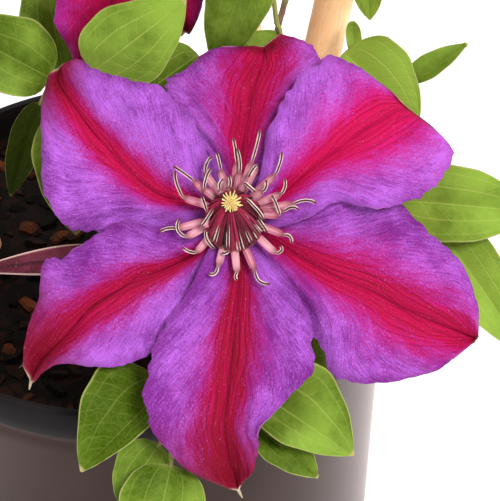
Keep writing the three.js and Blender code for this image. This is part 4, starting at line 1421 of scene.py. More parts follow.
# ---- blooms ----
@dataclass
class Tepal:
    """One tepal: its first edge, bar and second edge, row by row, and how it is vaulted."""

    rows: list[Row]
    height: float = 0.0
    lifts: Pair = (1.0, 1.0)
    rise: float = 3.0
    puff: float = 1.5
    reflex: float = 8.0
    ripple: float = 1.4
    phase: float = 0.0
    # tone: how much lilac the tepal shows, partly its own colour and partly painted light and shade
    tone: float = 0.5
    bar: float = 0.3
    flush: float = 0.2
    glow: float = 0.6
    spread: float = 0.55
    flare: float = 0.3
    # lean: painted light, one half of the tepal lighter than the other
    lean: float = 0.0
    mucro: Pair | None = None
    wall: float = 0.55
    grooves: tuple[Triple, ...] = (
        (0.0, 0.05, 0.3), (0.15, 0.03, 0.28), (0.27, 0.03, 0.24),
    )

    def surface(self, t: float, v: float) -> float:
        """Find the height of the tepal above the bloom's plane."""
        grown = smooth(0, 0.3, t)
        lift = self.lifts[0] if v < 0 else self.lifts[1]
        rib = self.height + self.rise * sin(pi * t**0.8) - self.reflex * t**3
        vault = self.puff * sin(pi * min(abs(v) * 0.8, 1)) * grown
        margin = lift * v * v * grown * (1 - 0.5 * t)
        wave = self.ripple * abs(v) ** 3 * sin(4 * pi * t + self.phase) * grown
        return rib + vault + margin + wave

    def relief(self, t: float, v: float) -> float:
        """Find the fine relief: grooves at the rib and beside it, pleats and a crimped margin."""
        grown = smooth(0.03, 0.3, t) * (1 - smooth(0.9, 1, t))
        groove = sum(depth * bell(abs(v) - at, width) for at, width, depth in self.grooves)
        crimp = abs(v) ** 5 * sin(27 * t + 5 * self.phase + 2 * v)
        swell = 1.6 * noise.noise(Vector((t * 5, v * 2.4, self.phase * 3.7)))
        ray = t - 0.55 * abs(v) ** 0.6
        pleats = noise.noise(Vector((ray * 16, v * 1.6, self.phase * 2.3 + 9)))
        pucker = noise.noise(Vector((t * 11, v * 4.5, self.phase * 4.1 + 3)))
        pucker *= 1.5 * smooth(0.3, 0.8, abs(v)) * (1 - smooth(0.45, 0.8, t))
        pleats *= 1.1 * smooth(0.1, 0.5, abs(v))
        return grown * (-groove + crimp + swell + pleats + pucker)

    def nick(self, t: float, v: float) -> float:
        """Find how far out the margin stands, as a share of its own place."""
        coarse = noise.noise(Vector((t * 14, self.phase * 5 + v, 1.7)))
        fine = 0.9 * noise.noise(Vector((t * 37, self.phase * 5 + v, 6.1)))
        return 1 + 0.05 * (coarse + fine) * smooth(0.12, 0.3, t) * (1 - smooth(0.9, 1, t))

    def build(self, name: str, cells: tuple[int, int]) -> Piece:
        """Shape the tepal.

        Args:
            name: Its name.
            cells: Faces along and across it.

        Returns:
            The tepal, in the bloom's own frame.
        """
        first, middle, second = (
            Curve([Vector((row[i], row[i + 1], 0)) for row in self.rows], even=True)
            for i in (0, 2, 4)
        )
        across = second.at(0.5) - first.at(0.5)
        hand = 1.0 if across.cross(middle.tangent(0.5)).z > 0 else -1.0

        def shape(t: float, side: float) -> Vector:
            """Find a point of the tepal."""
            v = side * hand
            edge = first.at(t) if v < 0 else second.at(t)
            share = abs(v) * mix(1, self.nick(t, v), smooth(0.5, 1, abs(v)))
            point = middle.at(t).lerp(edge, share)
            point.z = self.surface(t, v) + self.relief(t, v)
            return point

        def bar(t: float, v: float) -> float:
            """Find how far a point is from the rib, as a share of the bar's breadth."""
            widening = self.spread * t + self.flare * smooth(0.6, 0.95, t)
            return abs(v) / self.bar / (0.75 + widening - 0.25 * smooth(0.75, 1, t))

        marks = {
            "bar": bar,
            # tone with lean: partly own colour, partly painted light and shade on one half
            "tone": lambda t, v: self.tone + self.lean * v * hand,
            "glow": self.glow,
            "tip": lambda t, v: smooth(1 - self.flush, 1 - 0.3 * self.flush, t - 0.06 * abs(v)),
            "point": lambda t, v: smooth(0.985, 1.0, t) * bell(v, 0.7),
        }
        blade = thin_blade(name, cells, shape, self.wall, marks)
        if self.mucro is None:
            return blade
        end = shape(1.0, 0.0)
        reach = Vector((*self.mucro, -0.6))
        curve = Curve([end - reach * 0.7, end, end + reach * 0.6 + UP * 0.2, end + reach])
        hook = tube(f"{name}_mucro", curve, lambda t: mix(0.75, 0.18, t), 10, 8)
        mark(hook, "point", 1.0)
        return join(name, [blade, hook])


@dataclass
class Stamen:
    """A broad flat filament up to its elbow, and an anther that bends on from there."""

    elbow: Pair
    bend: Pair
    tip: Pair
    lift: float = 5.2
    curl: float = 0.6
    width: float = 2.5
    anther: float = 0.4
    cup: float = 0.16
    wall: float = 0.3
    cells: tuple[int, int] = (28, 6)

    def path(self, foot: float) -> Curve:
        """Lay out the line of the filament, a third of it, and of the anther."""
        elbow, bend, tip = (Vector((*p, 0)) for p in (self.elbow, self.bend, self.tip))
        start = elbow.normalized() * min(4.4, elbow.length * 0.6)
        base = foot + 0.9
        path = [
            start + UP * base,
            start.lerp(elbow, 0.5) + UP * (base + self.lift * 0.55),
            elbow + UP * (foot + self.lift),
        ]
        pulled = bend.lerp(bend * 2 - (elbow + tip) / 2, 0.75)
        for share, curl in ((0.25, 0.4), (0.5, 0.8), (0.75, 1.0), (1.0, 0.7)):
            hook = elbow.lerp(pulled, share).lerp(pulled.lerp(tip, share), share)
            path.append(hook + UP * (foot + self.lift + self.curl * curl))
        return Curve(path)

    def build(self, name: str, foot: float, tone: float) -> Piece:
        """Shape the stamen in the bloom's own frame.

        Args:
            name: Its name.
            foot: The height of the stamens' base above the bloom's plane.
            tone: A number that its streaks are drawn from.

        Returns:
            The stamen.
        """
        curve = self.path(foot)
        joint = 2 / 6

        def shape(t: float, v: float) -> Vector:
            """Find a point of the filament, in the first half of t, or of the anther."""
            if t < 0.5:
                share = t / 0.5
                place = mix(0, joint, share)
                half = self.width * 0.5 * (0.62 + 0.34 * sin(pi * share**1.1 * 0.82))
                half = mix(half, self.anther, smooth(0.86, 1, share))
            else:
                share = (t - 0.5) / 0.5
                place = mix(joint, 1, share)
                half = self.anther * (1 - 0.55 * smooth(0.9, 1, share))
            along = curve.tangent(place)
            side = along.cross(UP).normalized()
            cup = self.cup * (1 - v * v) * (1 if t > 0.5 else -1)
            return curve.at(place) + side * (v * half) + side.cross(along) * cup

        marks = {
            "anther": lambda t, v: smooth(0.47, 0.52, t),
            "inner": 0.0,
            "tone": tone,
            "end": lambda t, v: smooth(0.9, 0.97, t) + 0.8 * bell(t - 0.46, 0.05),
            "tan": lambda t, v: 0.45 * (1 - smooth(0, 0.22, t)),
        }
        return thin_blade(name, self.cells, shape, self.wall, marks)


# From the bloom's centre, in millimetres: elbow, bend and tip of each stamen, then its lift.
MAIN_STAMENS: list[tuple[float, ...]] = [
    (6.3, 16.5, 7.7, 21.2, 8.7, 25.9, 6.6), (1.5, 16.2, 1.1, 19.9, 0.5, 23.4, 6.0),
    (2.5, 13.2, 2.6, 16.5, 1.6, 20.2, 7.0), (-3.4, 14.0, -3.9, 16.5, -4.6, 18.9, 6.4),
    (-8.1, 13.2, -7.6, 15.9, -6.1, 17.7, 6.0), (-8.3, 8.2, -7.8, 11.5, -6.2, 14.2, 7.0),
    (-11.9, 10.5, -15.0, 12.9, -17.8, 14.7, 6.0), (-15.0, 5.5, -17.0, 9.5, -17.3, 13.4, 5.4),
    (-7.8, 1.5, -8.4, 3.5, -9.1, 5.5, 7.4), (-17.0, -4.2, -19.6, -4.2, -22.2, -5.2, 4.6),
    (-14.3, -6.7, -16.8, -4.6, -16.0, -1.2, 5.6), (-8.9, -3.2, -7.9, -1.9, -5.6, 1.8, 8.6),
    (-7.9, -5.2, -7.6, -7.9, -5.2, -10.6, 5.6), (-11.3, -11.6, -13.3, -11.3, -15.0, -10.1, 4.6),
    (-1.2, -11.4, -2.1, -11.9, -2.9, -11.8, 4.6), (-4.2, -16.0, -5.2, -18.3, -7.1, -18.1, 4.4),
    (1.5, -18.0, 1.1, -19.0, 1.6, -20.1, 4.6), (7.2, -17.6, 8.5, -20.6, 11.8, -21.3, 4.4),
    (13.9, -11.8, 15.4, -10.9, 14.9, -9.6, 4.8), (16.2, -6.2, 17.9, -6.6, 18.5, -8.9, 4.8),
    (19.2, 3.5, 22.9, 4.5, 25.9, 3.5, 5.4), (15.2, 6.5, 16.4, 8.5, 16.2, 10.9, 5.8),
    (13.5, 12.5, 14.9, 15.9, 15.4, 19.1, 6.4), (9.5, 7.2, 10.5, 8.2, 10.5, 10.5, 7.2),
    (14.5, 0.1, 13.7, 3.1, 12.2, 5.8, 6.2), (4.1, 9.5, 5.6, 8.3, 7.2, 6.8, 8.4),
    (4.8, 4.5, 8.2, 1.1, 9.7, -1.5, 8.8), (8.2, -1.5, 9.7, -3.4, 10.8, -5.4, 7.2),
    (7.5, 14.9, 6.1, 13.2, 5.3, 11.5, 7.4), (-3.6, 7.8, -3.7, 9.5, -2.6, 10.7, 8.6),
    (-0.7, 8.5, -0.4, 9.9, -0.9, 11.8, 8.4), (16.0, 1.2, 18.6, 2.4, 20.4, 1.6, 4.8),
]


def plain_stamens(count: int, seed: int) -> list[Stamen]:
    """Work out spread stamens by rule, in a ring with a little seeded scatter."""
    draw = seeded(seed)
    stamens = []
    for i in range(count):
        angle = TAU * (i + 0.5 * draw()) / count
        reach = 17 + 8 * draw()
        bow = 0.1 * (draw() - 0.5)
        points = []
        for share, turn in ((0.72, 0.0), (0.88, bow), (1.0, 3 * bow)):
            way = angle + turn
            points.append((reach * share * cos(way), reach * share * sin(way)))
        stamens.append(Stamen(*points))
    return stamens


@dataclass
class Bloom:
    """A flower: tepals on a disc, spread stamens round a dome of closed ones, and styles."""

    name: str
    centre: Vector
    facing: Vector
    tepals: list[Tepal]
    stamens: list[Stamen]
    cells: tuple[int, int] = (36, 20)
    ribs: int = 30
    foot: float = 3.8
    dome_radius: float = 8.4
    dome_foot: Pair = (0.8, -2.1)
    dome_leans: tuple[float, ...] = (0, 0, 0.03, 0.24, 0.66, 0.92)
    dome_form: tuple[Pair, ...] = (
        (0.92, 0.0), (1.0, 0.2), (0.99, 0.45), (0.86, 0.7), (0.56, 0.9), (0.26, 1.0),
    )
    style: Triple = (-0.3, 3.5, 12.6)
    rays: tuple[tuple[float, int], ...] = (
        (0.0, 1), (0.25, 6), (0.5, 9), (0.8, 13), (1.12, 16), (1.42, 17),
    )

    def __post_init__(self) -> None:
        """Lay out the dome: the centres of its rings, then their girth and height."""
        top = Vector((*self.style[:2], 0))
        low = Vector((*self.dome_foot, 0))
        self.rings = Curve([low.lerp(top, share) for share in self.dome_leans])
        self.bulges = Curve([Vector((girth, rise, 0)) for girth, rise in self.dome_form])

    def matrix(self) -> Matrix:
        """Work out the bloom's place: its own X is to the right and its own Z faces out."""
        out = self.facing.normalized()
        right = UP.cross(out).normalized()
        turn = Matrix((right, out.cross(right), out)).transposed().to_4x4()
        return Matrix.Translation(self.centre + PLANT_PLACE) @ turn

    def corolla(self) -> Piece:
        """Shape the tepals and the disc under them."""
        disc_radius, disc_height, disc_low = 6, 8.5, 5

        def disc(turn: float, rise: float) -> Vector:
            """Find a point of the disc."""
            angle = TAU * turn
            radius = disc_radius * max(hump(rise), 0) ** 0.6
            radius *= 1 + 0.05 * cos(6 * angle)
            return round_at(radius, angle, disc_height * rise - disc_low)

        marks = {"bar": 4.0, "tone": 0.3, "under": 1.0, "glow": 0.5}
        pieces = [ball(f"{self.name}_disc", 36, 14, disc, marks)]
        for i, tepal in enumerate(self.tepals):
            pieces.append(tepal.build(f"{self.name}_tepal_{i}", self.cells))
        return shade(join(f"tepals_of_{self.name}_bloom", pieces), SOFT_EDGE)

    def dome_point(self, angle: float, share: float, proud: float = 0.0) -> Vector:
        """Find a point of the dome, from its lower edge at 0 to its top at 1."""
        low = self.foot + 2.2
        ring = self.rings.at(share)
        girth = self.bulges.at(share)
        radius = self.dome_radius * girth.x + proud
        return Vector((
            ring.x + radius * cos(angle),
            ring.y + radius * sin(angle),
            low + (self.style[2] - 0.3 - low) * girth.y,
        ))

    def heart(self) -> Piece:
        """Shape the stamens: the foot, the dome with its closed ones, and the spread ones."""
        draw = random.Random(self.ribs * 7 + 1)
        pieces = [self.drum(), self.dome()]
        for rib in range(self.ribs):
            pieces.append(self.closed_stamen(rib, draw))
        for i, stamen in enumerate(self.stamens):
            pieces.append(stamen.build(f"{self.name}_stamen_{i}", self.foot, draw.random()))
        return shade(join(f"stamens_of_{self.name}_bloom", pieces), SOFT_EDGE)

    def drum(self) -> Piece:
        """Turn the low drum that the spread stamens grow from."""
        foot = self.foot
        profile = [(3, foot), (6.2, foot), (6.5, foot + 0.5), (6.5, foot + 2.1), (5.6, foot + 2.6)]
        drum = lathe(f"{self.name}_drum", profile, 32)
        mark(drum, "inner", 0.0)
        mark(drum, "tan", 0.8)
        return drum

    def dome(self) -> Piece:
        """Shape the dark body of the dome, behind its stamens."""
        x, y, z = self.style

        def shape(turn: float, rise: float) -> Vector:
            """Find a point of the body."""
            if rise <= 0:
                return Vector((0, -1, self.foot + 2.0))
            if rise >= 1:
                return Vector((x, y - 1, z - 0.9))
            return self.dome_point(TAU * turn, (rise - 0.05) / 0.9, -0.7)

        return ball(f"{self.name}_dome", 44, 14, shape, {"inner": 1.0, "tan": 0.0})

    def closed_stamen(self, rib: int, draw: random.Random) -> Piece:
        """Shape one stamen that lies closed over the dome.

        Args:
            rib: Its number in the ring.
            draw: Where its scatter comes from.

        Returns:
            The stamen.
        """
        angle = TAU * (rib + draw.uniform(-0.25, 0.25)) / self.ribs
        twist = draw.uniform(-0.12, 0.12)
        low = draw.uniform(0.0, 0.08)
        front = max(-sin(angle), 0.0)
        pale = 1.0 if front > 0.25 and draw.random() < 0.6 else 0.0
        start = draw.uniform(0.3, 0.5)
        end = start + draw.uniform(0.18, 0.32)
        width = TAU * self.dome_radius / self.ribs * (1.2 if pale else 0.9)
        near, proud, swell, crown = 0.02, 0.15, 0.35, 0.3

        def shape(t: float, v: float) -> Vector:
            """Find a point of the stamen."""
            share = mix(low, 1.0, t)
            turn = angle + twist * hump(t)
            here = self.dome_point(turn, share, proud + swell * hump(t))
            above = self.dome_point(turn, min(share + near, 1 + near), proud)
            ahead = above - self.dome_point(turn, share - near, proud)
            across = Vector((-sin(turn), cos(turn), 0))
            out = across.cross(ahead).normalized()
            half = width * 0.5 * (0.75 + 0.35 * hump(t)) * (1 - 0.6 * t**1.6)
            return here + across * (v * half) + out * (crown * (1 - v * v))

        def anther(t: float, v: float) -> float:
            """Mark the pale anther, where there is one."""
            return pale * smooth(start, start + 0.06, t) * (1 - smooth(end, end + 0.06, t))

        marks = {
            "anther": anther,
            "inner": 1.0,
            "tone": angle,
            "end": 0.0,
            "tan": lambda t, v: 0.8 * front * (1 - smooth(0.24, 0.4, t)),
        }
        return thin_blade(f"{self.name}_closed_{rib}", (16, 4), shape, 0.34, marks)

    def tuft(self) -> Piece:
        """Shape the styles: pointed rays that spread from one foot."""
        draw = random.Random(17)
        foot = Vector((*self.style[:2], self.style[2] + 0.25))
        pieces = []
        for lean, count in self.rays:
            for i in range(count):
                angle = TAU * (i + draw.uniform(-0.2, 0.2) + lean) / count
                tilt = lean + draw.uniform(-0.08, 0.08)
                way = round_at(sin(tilt), angle, cos(tilt))
                reach = 2.7 + 0.85 * lean * (0.7 + 0.4 * sin(angle + 0.6))
                reach *= draw.uniform(0.78, 1.05)
                deselect()
                bpy.ops.mesh.primitive_cone_add(
                    vertices=6, radius1=0.42 * MM, radius2=0.14 * MM, depth=reach * MM
                )
                ray = added(f"{self.name}_ray_{len(pieces)}")
                middle = foot + way * (reach / 2) + UP * 0.25 * lean
                put(ray, Matrix.Translation(middle) @ turn_to(way))
                tone = draw.uniform(0.6, 1.0)
                outward = [(v.co - foot * MM).length for v in ray.data.vertices]
                # Tone varies at random from ray to ray, and falls to 0 at the foot, which paints
                # shade where the rays crowd.
                mark(ray, "tone", (tone * smooth(0, 2.2 * MM, far) for far in outward))
                pieces.append(ray)
        return shade(join(f"styles_of_{self.name}_bloom", pieces), 50)

    def build(self) -> None:
        """Make the bloom and dress it."""
        matrix = self.matrix()
        for kind, finish, piece in (
            ("tepals", Finish.SATIN, self.corolla()),
            ("stamens", Finish.PINK, self.heart()),
            ("styles", Finish.CREAM, self.tuft()),
        ):
            put(piece, matrix)
            hand_over(piece, finish, f"bloom_{self.name}_{kind}")


MAIN_TEPALS = [
    Tepal(
        [(-2, 5, -1, 1, -2, -2), (-6, 13, -11, 4, -21, -5), (-10, 26, -22, 6, -33, -5),
         (-16, 35, -31, 13, -42, -5), (-25, 40, -39, 21, -51, -3), (-35, 42, -45, 28, -58, 7),
         (-42, 45, -50, 35, -59, 20), (-48, 48, -54, 41, -59, 35), (-52, 47, -54, 46, -57, 44)],
        0, (3, -2), 3, 3, 3, 1.2, 0.5, tone=0.67, bar=0.25, flush=0.34, glow=0.56, spread=-0.1,
        flare=0.9,
    ),
    Tepal(
        [(-3, 3, 0, 3, 4, 3), (-6, 12, 2, 12, 9, 11), (-13, 23, 3, 20, 16, 20),
         (-19, 34, 5, 30, 22, 30), (-20, 42, 7, 39, 27, 39), (-14, 46, 9, 46, 28, 48),
         (-6, 52, 10, 50, 23, 54), (6, 53, 10, 53, 15, 57)],
        LOWER_LAYER, (-3, -3), 3, 2, 4, 1.4, 2, tone=0.5, bar=0.34, flush=0.22, glow=0.5, flare=0.5,
        lean=-0.1,
    ),
    Tepal(
        [(2, 3, 3, 2, 4, -2), (8, 10, 12, 4, 13, -4), (10, 20, 20, 10, 23, -1),
         (13, 30, 27, 16, 33, 4), (18, 39, 35, 22, 44, 2), (25, 45, 42, 27, 55, 4),
         (31, 49, 48, 31, 63, 10), (39, 46, 53, 33, 69, 19), (49, 39, 56, 33, 63, 27)],
        0.8, (3, 3), 3, 3, 7, 1, 1, tone=0.74, bar=0.27, flush=0.14, glow=0.8,
    ),
    Tepal(
        [(4, 2, 4, -2, 1, -5), (13, 2, 12, -7, 5, -14), (26, 5, 21, -13, 13, -24),
         (39, 6.5, 32, -19, 22, -32), (51, 4.2, 44, -24, 28, -41), (62, -5, 53, -29, 33, -51),
         (71, -15, 62, -33, 48, -52), (76, -26, 70, -36, 62, -49), (77, -34, 75, -38, 70, -44),
         (77, -37, 77, -39, 75, -40)],
        LOWER_LAYER, (-3, -3), 3, 3, 4, 1.2, 4, tone=0.45, bar=0.31, flush=0.14, glow=0.5,
        flare=0.8,
    ),
    Tepal(
        [(-2, -3, 1, -4, 3, -3), (-8, -12, 2, -13, 11, -13), (-13, -23, 2, -23, 21, -26),
         (-21, -34, 1, -34, 24, -34), (-25, -44, 0, -44, 25, -46), (-27, -55, -1, -55, 18, -56),
         (-25, -65, -2, -65, 9, -65), (-17, -76, -1, -75, 8, -73), (-8, -82, 1, -81, 6, -80),
         (-1, -85, 2, -86, 3, -83)],
        1.6, (3, 2), 3, 2.5, 5, 1.2, 0, tone=0.42, bar=0.27, flush=0.46, glow=0.22, spread=0.8,
        flare=1.3, mucro=(1.2, -2.4),
    ),
    Tepal(
        [(-3, 1, -2, -2, -1, -5), (-11, -1, -8, -10, -6, -15), (-22, -4, -19, -16, -11, -26),
         (-33, -2, -29, -20, -19, -37), (-42, -6, -36, -24, -27, -44),
         (-51, -13, -44, -29, -36, -47), (-58, -15, -50, -36, -45, -47),
         (-60, -26, -55, -41, -52, -46), (-64, -38, -60, -46, -58, -48),
         (-65, -47, -63, -52, -62, -52)],
        0.4, (3, -3), 3, 2.5, 5, 1.2, 3, tone=0.55, bar=0.26, flush=0.46, glow=0.36, spread=0.7,
        flare=1.0, lean=0.36, mucro=(-0.6, -2.6),
    ),
]


def plain_tepals(*sizes: Triple) -> list[Tepal]:
    """Work out tepals by rule: ellipses drawn out to a point, every second one lower.

    Args:
        sizes: Where each points, in degrees round from the bloom's right, its length from the
            bloom's centre, and its width.

    Returns:
        The tepals.
    """
    foot, foot_half, spans = 3, 1.5, 7
    tepals = []
    for i, (degrees, length, width) in enumerate(sizes):
        along = round_at(1, radians(degrees))
        across = Vector((-along.y, along.x, 0))
        rows: list[Row] = []
        for row in range(spans + 1):
            t = row / spans
            swell = max(sin(pi * min(t * 1.03, 1) ** 1.1), 0.0) ** 0.8
            half = foot_half + (width / 2 - foot_half) * swell
            rib = along * (foot + (length - foot) * t)
            first, second = rib + across * half, rib - across * half
            rows.append((first.x, first.y, rib.x, rib.y, second.x, second.y))
        height = LOWER_LAYER if i % 2 else 0.6
        tepals.append(Tepal(rows, height=height, phase=1.7 * i, tone=0.35 + 0.11 * i))
    return tepals


def make_blooms() -> dict[str, Bloom]:
    """List the blooms: where each sits, which way it looks, its tepals and stamens."""
    main_stamens = [
        Stamen((s[0], s[1]), (s[2], s[3]), (s[4], s[5]), s[6]) for s in MAIN_STAMENS
    ]
    upper_tepals = plain_tepals(
        (-103, 65, 34), (-73, 51, 26), (2, 60, 34), (56, 62, 34), (110, 60, 36), (166, 62, 34),
    )
    for tepal in upper_tepals[:2]:
        tepal.bar = 0.62
    left_tepals = plain_tepals(
        (80, 62, 36), (140, 60, 34), (196, 64, 36), (-98, 62, 34), (-40, 60, 36), (22, 62, 34),
    )
    blooms = (
        Bloom("main", face(38, 15, 75), FACE_NORMAL, MAIN_TEPALS, main_stamens, (96, 48), 60),
        Bloom(
            "upper", Vector((8, 2, 307)), Vector((0, -0.99, 0.14)), upper_tepals,
            plain_stamens(24, 5),
        ),
        Bloom(
            "left", Vector((-52, -12, 448)), Vector((-0.35, -0.9, 0.26)), left_tepals,
            plain_stamens(24, 9),
        ),
    )
    return {bloom.name: bloom for bloom in blooms}


# ---- buds ----
@dataclass
class Bud:
    """A pointed bud, grooved where the edges of its six tepals meet."""

    name: str
    base: Vector
    tip: Vector
    width: float
    tepals: int = 6
    twist: float = 0.5
    sway: float = 0.03

    def build(self) -> None:
        """Shape the bud and dress it."""
        axis = self.tip - self.base
        side = axis.cross(FACE_NORMAL).normalized()
        depth = axis.cross(side).normalized()
        place = self.base + PLANT_PLACE

        def shape(turn: float, rise: float) -> Vector:
            """Find a point of the bud."""
            twist = TAU * turn + self.twist * rise
            swell = rise**0.55 * (1 - rise) ** 1.3 * 2.35
            seam = 0.94 - 0.05 * cos(self.tepals * TAU * turn)
            seam += 0.012 * cos(3 * self.tepals * TAU * turn)
            radius = self.width / 2 * seam * swell
            sway = self.sway * self.width * hump(rise)
            point = place + axis * rise + side * (radius * cos(twist) + sway)
            return point + depth * radius * sin(twist)

        marks = {
            "seam": lambda turn, rise: abs(cos(TAU * turn + self.twist * rise)),
            "rise": lambda turn, rise: rise,
        }
        bud = ball(f"bud_{self.name}_closed", 60, 30, shape, marks)
        hand_over(bud, Finish.MAROON, f"bud_{self.name}")

    def stalk_end(self) -> Vector:
        """Find the end of the stalk that carries the bud, a gap short of it."""
        return self.base - (self.tip - self.base).normalized() * 0.3


def make_buds() -> dict[str, Bud]:
    """List the buds."""
    buds = (
        Bud("side", face(1, 2.5, 56), face(-49, -3, 62), 13),
        Bud("low", face(-12, -19, 54), face(-30, -33.5, 62), 7),
        Bud("top", Vector((16, 6, 545)), Vector((24, -16, 572)), 13),
        Bud("right", Vector((99, 10, 505)), Vector((104, -20, 530)), 12),
    )
    return {bud.name: bud for bud in buds}


# ---- leafy stems ----
@dataclass
class Leaf:
    """An ovate leaf on its own stalk."""

    node: Vector
    base: Vector
    tip: Vector
    width: float
    fold: float = 0.3
    arch: float = 0.1
    sides: Pair = (1.0, 1.0)
    facing: Vector = field(default_factory=lambda: FACE_NORMAL.copy())
    # tone: how light the leaf is, partly its own colour and partly painted light and shade; below
    # zero it paints shadow
    tone: float = 0.5
    shoulder: float = 0.45
    taper: float = 0.85
    side_veins: int = 9
    inner_vein: float = 0.43
    full_width: float = 24.0
    wall: float = 0.5

    def breadth(self, t: float) -> float:
        """Find how broad the leaf is at t, as a share of its widest."""
        widest = self.shoulder / (self.shoulder + self.taper)
        peak = widest**self.shoulder * (1 - widest) ** self.taper
        return t**self.shoulder * (1 - t) ** self.taper / peak

    def lift(self, t: float, v: float, half: float, seed: float) -> float:
        """Find how far the blade stands off the line from its base to its tip.

        Args:
            t: How far along the blade.
            v: How far across it.
            half: Half of its breadth there.
            seed: A number that its waves start from.

        Returns:
            The height.
        """
        scale = min(self.width / self.full_width, 1.0)
        fold = self.fold * abs(v) * half * smooth(0, 0.2, t)
        quilt = abs(sin(pi * (abs(v) / self.inner_vein) * 0.5 + 0.01)) - 0.5
        quilt = 0.42 * scale * quilt
        quilt += 0.16 * scale * sin(TAU * (t * self.side_veins - abs(v) * 2.6))
        wave = 0.9 * scale * abs(v) ** 2 * sin(8 * t + seed + (1.7 if v < 0 else 0))
        grown = smooth(0, 0.12, t) * (1 - smooth(0.85, 1, t))
        length = (self.tip - self.base).length
        return self.arch * length * hump(t) + fold + (quilt + wave) * grown

    def build(self, name: str, cells: tuple[int, int]) -> Piece:
        """Shape the blade and its stalk.

        Args:
            name: Its name.
            cells: Faces along and across the blade.

        Returns:
            The leaf.
        """
        axis = self.tip - self.base
        length = axis.length
        axis.normalize()
        normal = (self.facing - axis * self.facing.dot(axis)).normalized()
        side = axis.cross(normal)
        seed = self.tip.x * 0.7 + self.base.z * 0.3

        def shape(t: float, v: float) -> Vector:
            """Find a point of the blade."""
            half = max(self.breadth(min(t, 0.985)) * self.width / 2, 0.8)
            half = mix(half, 0.3, smooth(0.975, 1.0, t))
            reach = half * (self.sides[0] if v < 0 else self.sides[1])
            reach *= 1 + 0.02 * sin(19 * t + seed) * abs(v)
            rib = self.base + axis * (t * length) + normal * self.lift(t, v, half, seed)
            return rib + side * (v * reach) + PLANT_PLACE

        marks = {"tone": self.tone, "stalk": lambda t, v: 1 - smooth(0, 0.04, t)}
        blade = thin_blade(f"{name}_blade", cells, shape, self.wall, marks)
        bow = (self.node + self.base) / 2 + UP * 0.12 * (self.node - self.base).length
        curve = Curve([p + PLANT_PLACE for p in (self.node, bow, self.base + axis * 0.8)])
        stalk = tube(f"{name}_stalk", curve, lambda t: 0.72 + 0.1 * (1 - t), 14, 8)
        mark(stalk, "stalk", 1.0)
        return join(name, [blade, stalk])


@dataclass
class Vine:
    """A climbing stem with its side shoots and leaves."""

    name: str
    radius: float
    stem: list[Vector]
    shoots: list[list[Vector]]
    leaves: list[Leaf]
    climbing: list[Pair]
    order: int

    def climbing_leaves(self) -> list[Leaf]:
        """Work out the leaves that are held out from the stem, tips hanging."""
        draw = seeded(31 + self.order)
        curve = Curve(self.stem)
        samples = [curve.at(i / 200) for i in range(201)]
        leaves = []
        for height, degrees in self.climbing:
            node = min(samples, key=lambda point: abs(point.z - height))
            out = round_at(1, radians(degrees))
            base = node + out * (24 + 8 * draw()) + UP * 8
            hang = 0.25 + 0.35 * draw()
            length = 38 + 10 * draw()
            tip = base + out * (length * cos(hang)) - UP * (length * sin(hang))
            facing = out * 0.5 + UP * 0.85
            tone = 0.25 + 0.5 * ((degrees * 0.37) % 1)
            leaves.append(Leaf(node, base, tip, 0.6 * length, facing=facing, tone=tone))
        return leaves

    def rod(self, name: str, points: list[Vector], radius: float, steps: int) -> Piece:
        """Make a stem, swollen a little at its joints."""
        curve = Curve([point + PLANT_PLACE for point in points])
        spans = len(points) - 1

        def girth(t: float) -> float:
            """Find the radius along the stem."""
            joint = abs((t * spans * 0.5) % 1 - 0.5) * 2
            return radius * (0.94 + 0.14 * bell(1 - joint, 0.12))

        return tube(name, curve, girth, steps * spans, 10)

    def build(self) -> None:
        """Make the stems and leaves, and dress them."""
        stems = [self.rod(f"{self.name}_stem", self.stem, self.radius, 10)]
        for i, shoot in enumerate(self.shoots):
            stems.append(self.rod(f"{self.name}_shoot_{i}", shoot, 0.75 * self.radius, 9))
        blades = []
        for i, leaf in enumerate(self.leaves):
            blades.append(leaf.build(f"{self.name}_leaf_{i}", (34, 20)))
        for i, leaf in enumerate(self.climbing_leaves()):
            blades.append(leaf.build(f"{self.name}_climbing_{i}", (22, 14)))
        node = f"vine_{self.name}"
        for kind, finish, pieces in (
            ("stems", Finish.BROWN, stems), ("leaves", Finish.GREEN, blades),
        ):
            piece = shade(join(f"{node}_{kind}", pieces), SOFT_EDGE)
            hand_over(piece, finish, node)


def points(*numbers: float) -> list[Vector]:
    """Make points from a run of numbers, three for each."""
    return [Vector(numbers[i : i + 3]) for i in range(0, len(numbers), 3)]


